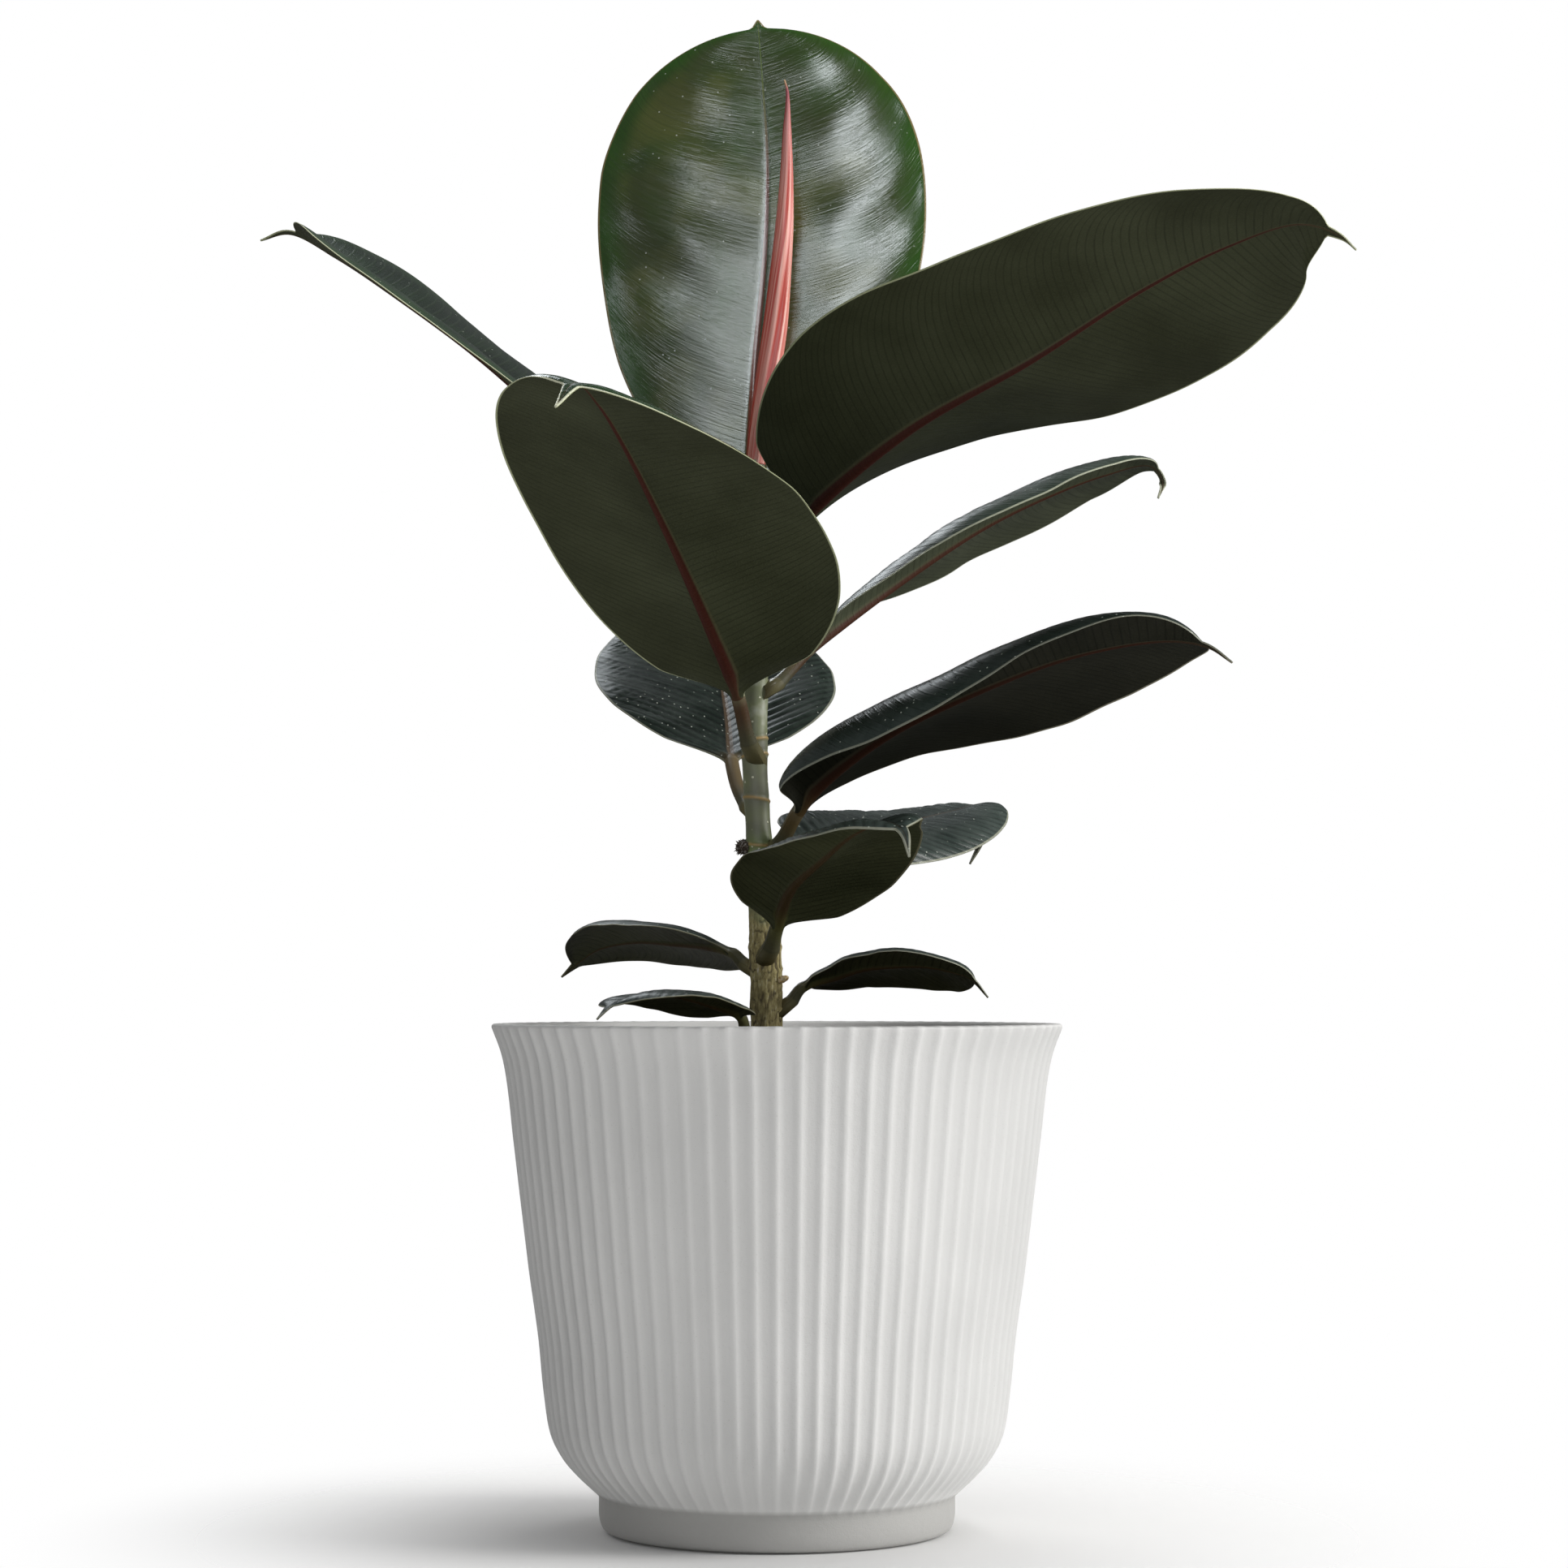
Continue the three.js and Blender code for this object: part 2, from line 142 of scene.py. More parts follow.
def set_stops(ramp: bpy.types.ColorRamp, stops: Stops) -> None:
    """Sets a ramp's places and colours.

    Args:
        ramp: the ramp.
        stops: each place and colour, from the lowest place up.
    """
    while len(ramp.elements) < len(stops):
        ramp.elements.new(0.5)
    for element, (at, code) in zip(ramp.elements, stops):
        element.position = at
        element.color = linear(code)


def stalk_colour(tree: bpy.types.NodeTree, colour: str) -> bpy.types.NodeSocket:
    """Gives a leaf stalk's colour: a pale ring at the bark, grey-green like the stem, then its own.

    Args:
        tree: the node tree it joins.
        colour: the stalk's own colour.

    Returns:
        The colour's socket.
    """
    at_bark, ring_tone = linear("#4c4b37"), linear("#7d7550")
    # How far out from the bark, in mm
    root = add(tree, "ShaderNodeAttribute", attribute_name="root").outputs["Fac"]
    own = add(tree, "ShaderNodeMapRange", {0: root, 1: 1.0, 2: 14.0}, interpolation_type="SMOOTHSTEP")
    skin = add(tree, "ShaderNodeMix", {0: own, 6: at_bark, 7: linear(colour)}, data_type="RGBA")
    ring = add(tree, "ShaderNodeMapRange", {0: root, 1: -1.2, 2: 0.6, 3: 0.6, 4: 0.0})
    ringed = add(tree, "ShaderNodeMix", {0: ring, 6: skin.outputs[2], 7: ring_tone}, data_type="RGBA")
    return ringed.outputs[2]


def eased(low: float, high: float, x: Numbers) -> Numbers:
    """Rises smoothly from 0 at low to 1 at high."""
    t = np.clip((x - low) / (high - low), 0, 1)
    return t * t * (3 - 2 * t)


def along(values: tuple[float, ...], u: Numbers) -> Numbers:
    """Reads a value given for the base, base and tip, or base, middle and tip.

    Args:
        values: one, two or three values.
        u: places from 0 at the base to 1 at the tip.

    Returns:
        The value at each place.
    """
    if len(values) == 1:
        return np.full_like(u, values[0])
    if len(values) == 2:
        return values[0] + (values[1] - values[0]) * u
    base, middle, tip = values
    return base * (1 - u) * (1 - 2 * u) + middle * 4 * u * (1 - u) + tip * u * (2 * u - 1)


def smooth_line(points: list[Point], steps: int) -> Numbers:
    """Draws a centripetal curve through points.

    Args:
        points: the points in order.
        steps: how many pieces each stretch is cut into.

    Returns:
        The curve's points, one row each.
    """
    given = np.array(points, float)
    ends = np.vstack([2 * given[0] - given[1], given, 2 * given[-1] - given[-2]])
    u = np.linspace(0, 1, steps, endpoint=False)[:, None]
    line = []
    for a, b, c, d in zip(ends, ends[1:], ends[2:], ends[3:]):
        before, here, after = (max(np.linalg.norm(q - p), 1e-6) ** 0.5 for p, q in ((a, b), (b, c), (c, d)))
        leave = ((b - a) / before - (c - a) / (before + here) + (c - b) / here) * here
        reach = ((c - b) / here - (d - b) / (here + after) + (d - c) / after) * here
        line.append(
            (2 * u**3 - 3 * u**2 + 1) * b + (u**3 - 2 * u**2 + u) * leave
            + (3 * u**2 - 2 * u**3) * c + (u**3 - u**2) * reach
        )
    return np.vstack([*line, given[-1]])


def lengths_of(line: Numbers) -> Numbers:
    """Gives how far along a line each of its points lies."""
    return np.concatenate([[0], np.cumsum(np.linalg.norm(np.diff(line, axis=0), axis=1))])


def bell(x: Numbers, width: float) -> Numbers:
    """Peaks at 1 where x is 0 and dies away over the width."""
    return np.exp(-((x / width) ** 2))


def looped(value: Numbers) -> Numbers:
    """Takes a value on a blade's columns round both faces, with one more place on each brim."""
    return np.concatenate([value, value[:, [-1]], value[:, ::-1], value[:, [0]]], 1)


@dataclass(frozen=True)
class Grain:
    """Seeded smooth unevenness, the same on every run."""

    seed: int

    def corner(self, cell: Numbers) -> Numbers:
        """Gives each lattice cell a fixed value, by mixing the bits of its place and the seed.

        Args:
            cell: whole numbers, as x y z.

        Returns:
            A value from -1 to 1 for each cell.
        """
        mixed = (cell[..., 0] * 73856093) ^ (cell[..., 1] * 19349663) ^ (cell[..., 2] * 83492791)
        mixed = (mixed ^ (self.seed * 40503)) & 0x7FFFFFFF
        mixed = ((mixed ^ (mixed >> 13)) * 1274126177) & 0x7FFFFFFF
        mixed = ((mixed ^ (mixed >> 16)) * 668265263) & 0x7FFFFFFF
        return (mixed % 65536) / 32768 - 1

    def at(self, points: Numbers, size: float) -> Numbers:
        """Reads the unevenness at points.

        Args:
            points: the places in mm.
            size: how large one bump is in mm.

        Returns:
            Values from -1 to 1.
        """
        place = points / size
        cell = np.floor(place).astype(np.int64)
        share = place - cell
        share = share * share * (3 - 2 * share)
        total = np.zeros(points.shape[:-1])
        for step in product((0, 1), repeat=3):
            weight = np.prod(np.where(step, share, 1 - share), axis=-1)
            total += weight * self.corner(cell + np.array(step))
        return total


@dataclass
class Piece:
    """One mesh in the making: points in mm, faces, what each point carries, and each face's finish."""

    name: str
    points: list[Numbers] = field(default_factory=list)
    faces: list[list[int]] = field(default_factory=list)
    finish_of: list[int] = field(default_factory=list)
    marks: dict[str, list[Numbers]] = field(default_factory=dict)
    count: int = 0

    def rows(self, grid: Numbers, finish: int | Numbers = 0, **marks: Numbers) -> None:
        """Adds a tube of closed rings, closed over at both ends.

        Args:
            grid: rings of points, as ring, point in the ring, x y z.
            finish: the finish's number, or one for each place round the ring.
            marks: values carried by each point, as ring, point in the ring.
        """
        rings, around = grid.shape[:2]
        here = self.count + np.arange(rings * around).reshape(rings, around)
        beside = np.roll(here, -1, 1)
        self.faces += np.stack([here[:-1], beside[:-1], beside[1:], here[1:]], -1).reshape(-1, 4).tolist()
        self.finish_of += np.broadcast_to(finish, (rings - 1, around)).reshape(-1).tolist()
        self.points.append(grid.reshape(-1, 3))
        carried = {name: np.broadcast_to(value, (rings, around)) for name, value in marks.items()}
        for name, value in carried.items():
            self.marks.setdefault(name, []).append(value.reshape(-1))
        self.count += rings * around
        for ring in (0, rings - 1):
            self.points.append(grid[ring].mean(0)[None])
            for name, value in carried.items():
                self.marks[name].append(value[ring].mean(keepdims=True))
            pairs = zip(here[ring].tolist(), beside[ring].tolist())
            self.faces += [[self.count, b, a] if ring == 0 else [self.count, a, b] for a, b in pairs]
            self.finish_of += np.broadcast_to(finish, (around,)).tolist()
            self.count += 1

    def finished(self, materials: list[bpy.types.Material], stands_for: str, slot: str) -> bpy.types.Object:
        """Makes the Blender object, hangs it under the root body and hides the CAD part it stands for.

        Args:
            materials: the finishes, by their number.
            stands_for: the CAD node it replaces.
            slot: the record's material slot; not used.

        Returns:
            The object.
        """
        points = np.vstack(self.points) * MM
        mesh = bpy.data.meshes.new(self.name)
        mesh.from_pydata(points.tolist(), [], self.faces)
        mesh.polygons.foreach_set("use_smooth", [True] * len(mesh.polygons))
        mesh.polygons.foreach_set("material_index", self.finish_of)
        for name, values in self.marks.items():
            mark = mesh.attributes.new(name, "FLOAT", "POINT")
            mark.data.foreach_set("value", np.concatenate(values).astype(np.float32))
        for material in materials:
            mesh.materials.append(material)
        mesh.update()
        made = bpy.data.objects.new(self.name, mesh)
        bpy.context.scene.collection.objects.link(made)
        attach(made, "root")
        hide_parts(stands_for)
        return made


class LeafAge(Enum):
    """The leaves' finishes, from the youngest at the top to the oldest over the rim."""

    YOUNG = "young"
    GROWN = "grown"
    # This finish's underside is a lit copy: its lighter colour is painted light
    FRESH_LIT = "fresh_lit"
    RIPE = "ripe"
    DUSTY = "dusty"
    OLD = "old"


class Face(IntEnum):
    """The finish's number on each side of a blade."""

    UPPER = 0
    UNDER = 1


@dataclass(frozen=True)
class WaxySkin:
    """Leaf blade, upper face: living tissue under a thick polished wax cuticle, as grown.

    To the eye it is deep green with a broad soft gloss, which the lateral veins break into streaks, and
    with a pale film and specks of dust on the older leaves. Sizes are in mm.
    """

    deep: str
    bright: str
    vein: str
    rib: str
    rib_tip: str
    margin: str
    stalk: str
    dust: float
    roughness: float
    gloss: float
    pitch: float
    ripple: float = 0.2
    vein_rise: float = 0.7
    vein_show: float = 0.3
    vein_half: float = 0.75
    swells: float = 1.2
    streaks: float = 1.0
    # Painted light: how much and in what tint the glow through thin places is painted
    glow_share: float = 0.0
    glow_tint: str = "#666a30"
    film: str = "#7d8882"
    specks: str = "#c3cabf"
    ior: float = 1.45
    streak_gap: float = 0.9091
    streak_length: float = 18.182
    band_gap: float = 4.5455
    cloud: float = 26.316
    glow_patch: float = 33.333
    film_patch: float = 11.111
    speck_gap: float = 2.381

    def made(self, age: LeafAge) -> bpy.types.Material:
        """Builds the finish.

        Args:
            age: the age it is named for.

        Returns:
            The material.
        """
        material, tree, shader = new_material(f"waxed_leaf_{age.value}")
        vein, across, edge, rib, base, share = (
            add(tree, "ShaderNodeAttribute", attribute_name=mark).outputs["Fac"] for mark in LEAF_MARKS
        )
        place = add(tree, "ShaderNodeTexCoord").outputs["Object"]
        # Streaks and bands lie along the lateral veins
        slow = add(tree, "ShaderNodeMath", {0: across, 1: self.streak_gap / self.streak_length},
                   operation="MULTIPLY")
        lay = add(tree, "ShaderNodeCombineXYZ", {0: vein, 1: slow, 2: slow})
        streak = add(tree, "ShaderNodeTexNoise", {"Vector": lay, "Scale": scale_for(self.streak_gap, 1),
                                                  "Detail": 3.0, "Roughness": 0.6})
        band = add(tree, "ShaderNodeTexNoise", {"Vector": lay, "Scale": scale_for(self.band_gap, 1),
                                                "Detail": 1.0})
        # Distance to the nearest lateral vein in mm
        near = add(tree, "ShaderNodeMath", {0: vein, 1: self.pitch / 2}, operation="PINGPONG")
        line = add(tree, "ShaderNodeMapRange", {0: near, 1: 0.1, 2: self.vein_half, 3: 1.0, 4: 0.0},
                   interpolation_type="SMOOTHSTEP")
        # Brighter clouds, and a brighter border 16 mm wide
        cloud = add(tree, "ShaderNodeTexNoise", {"Vector": place, "Scale": scale_for(self.cloud),
                                                 "Detail": 3.0, "Roughness": 0.55})
        border = add(tree, "ShaderNodeMapRange", {0: edge, 1: 0.0, 2: 16.0, 3: 0.75, 4: 0.0},
                     interpolation_type="SMOOTHSTEP")
        patch = add(tree, "ShaderNodeMapRange", {0: cloud, 1: 0.4, 2: 0.75, 3: 0.0, 4: 0.5})
        lift = add(tree, "ShaderNodeMath", {0: border, 1: patch}, operation="ADD", use_clamp=True)
        # Painted light: thin places that daylight glows through, clear of the margin, are painted in a paler
        # tint
        glow = add(tree, "ShaderNodeTexNoise", {"Vector": place, "Scale": scale_for(self.glow_patch),
                                                "Detail": 2.0})
        thin = add(tree, "ShaderNodeMapRange", {0: glow, 1: 0.5, 2: 0.68, 3: 0.0, 4: self.glow_share},
                   interpolation_type="SMOOTHSTEP")
        inner = add(tree, "ShaderNodeMapRange", {0: edge, 1: 4.0, 2: 12.0}, interpolation_type="SMOOTHSTEP")
        lit = add(tree, "ShaderNodeMath", {0: thin, 1: inner}, operation="MULTIPLY")
        # The midrib's groove changes colour towards the tip and is edged in the veins' colour
        faint = add(tree, "ShaderNodeMath", {0: line, 1: self.vein_show}, operation="MULTIPLY")
        trench = add(tree, "ShaderNodeMapRange", {0: rib, 1: 0.8, 2: 1.5, 3: 0.6, 4: 0.0},
                     interpolation_type="SMOOTHSTEP")
        faded = add(tree, "ShaderNodeMapRange", {0: share, 1: 0.6, 2: 0.92}, interpolation_type="SMOOTHSTEP")
        groove = add(tree, "ShaderNodeMix", {0: faded, 6: linear(self.rib), 7: linear(self.rib_tip)},
                     data_type="RGBA")
        ribbed = add(tree, "ShaderNodeMapRange", {0: rib, 1: 0.42, 2: 0.7, 3: 1.0, 4: 0.0},
                     interpolation_type="SMOOTHSTEP")
        hem = add(tree, "ShaderNodeMapRange", {0: edge, 1: 0.45, 2: 0.85, 3: 0.9, 4: 0.0},
                  interpolation_type="SMOOTHSTEP")
        # Dust: a thin uneven film, and grains of about 0.5 mm in some of the speck cells
        film = add(tree, "ShaderNodeTexNoise", {"Vector": place, "Scale": scale_for(self.film_patch),
                                                "Detail": 5.0, "Roughness": 0.7})
        veil = add(tree, "ShaderNodeMapRange", {0: film, 1: 0.4, 2: 0.85, 3: 0.0, 4: 0.3 * self.dust})
        cells = add(tree, "ShaderNodeTexVoronoi", {"Vector": place, "Scale": scale_for(self.speck_gap)})
        tint = add(tree, "ShaderNodeSeparateColor", {0: cells.outputs["Color"]})
        chosen = add(tree, "ShaderNodeMath", {0: tint, 1: 1.0 - 0.6 * min(self.dust + 0.1, 1.0)},
                     operation="GREATER_THAN")
        speck = add(tree, "ShaderNodeMapRange", {0: cells.outputs["Distance"], 1: 0.06, 2: 0.17, 3: 1.0,
                                                 4: 0.0})
        grains = add(tree, "ShaderNodeMath", {0: speck, 1: chosen}, operation="MULTIPLY")
        joint = add(tree, "ShaderNodeMapRange", {0: base, 1: -2.0, 2: 5.0, 3: 1.0, 4: 0.0},
                    interpolation_type="SMOOTHSTEP")
        colour = add(tree, "ShaderNodeMix", {0: lift, 6: linear(self.deep), 7: linear(self.bright)},
                     data_type="RGBA").outputs[2]
        for cover, coat in (
            (lit, linear(self.glow_tint)), (faint, linear(self.vein)), (trench, linear(self.vein)),
            (ribbed, groove.outputs[2]), (hem, linear(self.margin)), (veil, linear(self.film)),
            (grains, linear(self.specks)), (joint, stalk_colour(tree, self.stalk)),
        ):
            colour = add(tree, "ShaderNodeMix", {0: cover, 6: colour, 7: coat}, data_type="RGBA").outputs[2]
        # Dust dulls the gloss, and the streaks vary it
        lying = add(tree, "ShaderNodeMath", {0: veil, 1: grains}, operation="MAXIMUM")
        uneven = add(tree, "ShaderNodeMapRange", {0: streak, 1: 0.3, 2: 0.75, 3: self.roughness - 0.05,
                                                  4: self.roughness + 0.1})
        dulled = add(tree, "ShaderNodeMath", {0: lying, 1: 0.5, 2: uneven}, operation="MULTIPLY_ADD",
                     use_clamp=True)
        # Height in the order it is built up: streaks, veins, broad bands; none on the stalk
        fine = add(tree, "ShaderNodeMath", {0: streak, 1: self.streaks}, operation="MULTIPLY")
        ridge = add(tree, "ShaderNodeMath", {0: line, 1: self.vein_rise, 2: fine}, operation="MULTIPLY_ADD")
        swell = add(tree, "ShaderNodeMath", {0: band, 1: self.swells, 2: ridge}, operation="MULTIPLY_ADD")
        calm = add(tree, "ShaderNodeMath", {0: 1.0, 1: joint}, operation="SUBTRACT")
        relief = add(tree, "ShaderNodeBump", {"Strength": calm, "Distance": self.ripple * MM,
                                              "Height": swell})
        wire(tree, shader, {"Base Color": colour, "Roughness": dulled, "Normal": relief, "IOR": self.ior,
                            "Specular IOR Level": self.gloss})
        return material


@dataclass(frozen=True)
class LeafUnderside:
    """Leaf blade, underside: bare living tissue with no polish, as grown.

    To the eye it is dark satin olive with thin darker veins, a raised burgundy midrib and a pale margin
    line. Sizes are in mm.
    """

    deep: str
    light: str
    vein: str
    rib: str
    rib_edge: str
    margin: str
    stalk: str
    roughness: float
    pitch: float
    gloss: float = 0.32
    ior: float = 1.38
    streak_gap: float = 0.7143
    streak_length: float = 11.905
    cell: float = 0.7143
    cloud: float = 38.462
    rise: float = 0.07

    def made(self, age: LeafAge) -> bpy.types.Material:
        """Builds the finish.

        Args:
            age: the age it is named for.

        Returns:
            The material.
        """
        material, tree, shader = new_material(f"leaf_underside_{age.value}")
        vein, across, edge, rib, base, share = (
            add(tree, "ShaderNodeAttribute", attribute_name=mark).outputs["Fac"] for mark in LEAF_MARKS
        )
        place = add(tree, "ShaderNodeTexCoord").outputs["Object"]
        slow = add(tree, "ShaderNodeMath", {0: across, 1: self.streak_gap / self.streak_length},
                   operation="MULTIPLY")
        lay = add(tree, "ShaderNodeCombineXYZ", {0: vein, 1: slow, 2: slow})
        streak = add(tree, "ShaderNodeTexNoise", {"Vector": lay, "Scale": scale_for(self.streak_gap, 1),
                                                  "Detail": 2.0})
        near = add(tree, "ShaderNodeMath", {0: vein, 1: self.pitch / 2}, operation="PINGPONG")
        line = add(tree, "ShaderNodeMapRange", {0: near, 1: 0.08, 2: 0.5, 3: 1.0, 4: 0.0},
                   interpolation_type="SMOOTHSTEP")
        # Tissue between the veins: its cells are drawn coarser than life so that they show
        tissue = add(tree, "ShaderNodeTexNoise", {"Vector": place, "Scale": scale_for(self.cell),
                                                  "Detail": 1.0})
        cloud = add(tree, "ShaderNodeTexNoise", {"Vector": place, "Scale": scale_for(self.cloud),
                                                 "Detail": 3.0})
        mottle = add(tree, "ShaderNodeMath", {0: tissue, 1: 0.35, 2: cloud}, operation="MULTIPLY_ADD")
        patch = add(tree, "ShaderNodeMapRange", {0: mottle, 1: 0.45, 2: 0.95})
        broken = add(tree, "ShaderNodeMath", {0: line, 1: streak}, operation="MULTIPLY")
        # The midrib: paler flanks, and a red crest that fades towards the tip
        flank = add(tree, "ShaderNodeMapRange", {0: rib, 1: 0.95, 2: 1.3, 3: 0.7, 4: 0.0},
                    interpolation_type="SMOOTHSTEP")
        crest = add(tree, "ShaderNodeMapRange", {0: rib, 1: 0.6, 2: 0.95, 3: 1.0, 4: 0.0},
                    interpolation_type="SMOOTHSTEP")
        fade = add(tree, "ShaderNodeMapRange", {0: share, 1: 0.8, 2: 1.0, 3: 1.0, 4: 0.2})
        red = add(tree, "ShaderNodeMath", {0: crest, 1: fade}, operation="MULTIPLY")
        fibre = add(tree, "ShaderNodeMix", {0: streak, 6: linear(self.rib), 7: linear(self.rib_edge)},
                    data_type="RGBA")
        ribs = add(tree, "ShaderNodeMix", {0: 0.75, 6: fibre.outputs[2], 7: linear(self.rib)},
                   data_type="RGBA")
        hem = add(tree, "ShaderNodeMapRange", {0: edge, 1: 0.3, 2: 0.7, 3: 0.9, 4: 0.0},
                  interpolation_type="SMOOTHSTEP")
        # The stalk runs on into the midrib
        joint = add(tree, "ShaderNodeMapRange", {0: base, 1: -6.0, 2: 16.0, 3: 1.0, 4: 0.0},
                    interpolation_type="SMOOTHSTEP")
        narrow = add(tree, "ShaderNodeMapRange", {0: rib, 1: 1.0, 2: 1.4, 3: 1.0, 4: 0.0})
        stalk = add(tree, "ShaderNodeMath", {0: joint, 1: narrow}, operation="MULTIPLY")
        colour = add(tree, "ShaderNodeMix", {0: patch, 6: linear(self.deep), 7: linear(self.light)},
                     data_type="RGBA").outputs[2]
        for cover, coat in (
            (broken, linear(self.vein)), (flank, linear(self.rib_edge)), (red, ribs.outputs[2]),
            (hem, linear(self.margin)), (stalk, stalk_colour(tree, self.stalk)),
        ):
            colour = add(tree, "ShaderNodeMix", {0: cover, 6: colour, 7: coat}, data_type="RGBA").outputs[2]
        uneven = add(tree, "ShaderNodeMapRange", {0: streak, 1: 0.3, 2: 0.7, 3: self.roughness - 0.04,
                                                  4: self.roughness + 0.06})
        height = add(tree, "ShaderNodeMath", {0: line, 1: 0.8, 2: tissue}, operation="MULTIPLY_ADD")
        relief = add(tree, "ShaderNodeBump", {"Strength": 0.6, "Distance": self.rise * MM, "Height": height})
        wire(tree, shader, {"Base Color": colour, "Roughness": uneven, "Normal": relief, "IOR": self.ior,
                            "Specular IOR Level": self.gloss})
        return material


UPPER_SKINS = {
    LeafAge.YOUNG: WaxySkin(
        deep="#37431a", bright="#285409", vein="#1f3410", rib="#633426", rib_tip="#4f6420", margin="#8a7a50",
        stalk="#6d5238", dust=0.06, roughness=0.16, gloss=1.0, pitch=4.6, ripple=0.12, vein_rise=0.05,
        vein_show=0.15, swells=0.5, glow_share=0.4, ior=1.5,
    ),
    LeafAge.GROWN: WaxySkin(
        deep="#17261a", bright="#284024", vein="#35462f", rib="#57231b", rib_tip="#3f3a22", margin="#e9ebcf",
        stalk="#5f4f36", dust=0.1, roughness=0.26, gloss=0.6, pitch=4.6, ripple=0.12,
    ),
    LeafAge.FRESH_LIT: WaxySkin(
        deep="#1f2a22", bright="#2f3d31", vein="#121a14", rib="#57372b", rib_tip="#4a4436", margin="#b5b9a2",
        stalk="#5f4f36", dust=0.3, roughness=0.28, gloss=0.6, pitch=4.8, vein_rise=0.3, streaks=0.6,
    ),
    LeafAge.RIPE: WaxySkin(
        deep="#161f1b", bright="#27332e", vein="#0b1110", rib="#5a4a3a", rib_tip="#4a4436", margin="#8f9283",
        stalk="#63563e", dust=0.5, roughness=0.28, gloss=0.6, pitch=4.8, vein_rise=0.3, vein_show=0.2,
        streaks=0.6,
    ),
    LeafAge.DUSTY: WaxySkin(
        deep="#18221c", bright="#26322b", vein="#0b110e", rib="#5a4a3a", rib_tip="#4a4436", margin="#8f9283",
        stalk="#63563e", dust=0.5, roughness=0.36, gloss=0.25, pitch=5.0, vein_rise=-0.5, vein_show=0.7,
        vein_half=1.9, streaks=0.4,
    ),
    LeafAge.OLD: WaxySkin(
        deep="#2a3430", bright="#3c4843", vein="#161e1b", rib="#453a2c", rib_tip="#3a3628", margin="#a3a593",
        stalk="#4d4a34", dust=0.8, roughness=0.33, gloss=0.55, pitch=5.0, vein_rise=-0.5, vein_show=0.6,
        vein_half=1.9, streaks=0.4,
    ),
}
UNDER_SKINS = {
    LeafAge.YOUNG: LeafUnderside(
        deep="#2a3014", light="#3c4420", vein="#20240c", rib="#6a2019", rib_edge="#5c5a3c", margin="#b4ba92",
        stalk="#6d5238", roughness=0.5, pitch=4.6,
    ),
    LeafAge.GROWN: LeafUnderside(
        deep="#353824", light="#4a4e38", vein="#2e3120", rib="#420f0c", rib_edge="#55523a", margin="#b9be98",
        stalk="#4c3826", roughness=0.52, pitch=3.2,
    ),
    # Painted light: this underside is painted some three times lighter than the others, for the light it
    # catches from below and the right
    LeafAge.FRESH_LIT: LeafUnderside(
        deep="#474c3a", light="#585d49", vein="#3a3e2e", rib="#4c2418", rib_edge="#55523a", margin="#c5c8b0",
        stalk="#4c3826", roughness=0.52, pitch=3.2,
    ),
    LeafAge.RIPE: LeafUnderside(
        deep="#1e1f17", light="#2f2f25", vein="#151610", rib="#35190f", rib_edge="#453f30", margin="#97937f",
        stalk="#5a4c30", roughness=0.55, pitch=3.4, gloss=0.12,
    ),
    LeafAge.DUSTY: LeafUnderside(
        deep="#1e2014", light="#2e2f22", vein="#12130b", rib="#4a2a1c", rib_edge="#454030", margin="#8f9078",
        stalk="#5a4c30", roughness=0.55, pitch=3.4, gloss=0.2,
    ),
    LeafAge.OLD: LeafUnderside(
        deep="#2c2f1d", light="#42452f", vein="#1c1e10", rib="#3d2e1c", rib_edge="#3c3c26", margin="#6f6c55",
        stalk="#54552f", roughness=0.55, pitch=3.2, gloss=0.2,
    ),
}


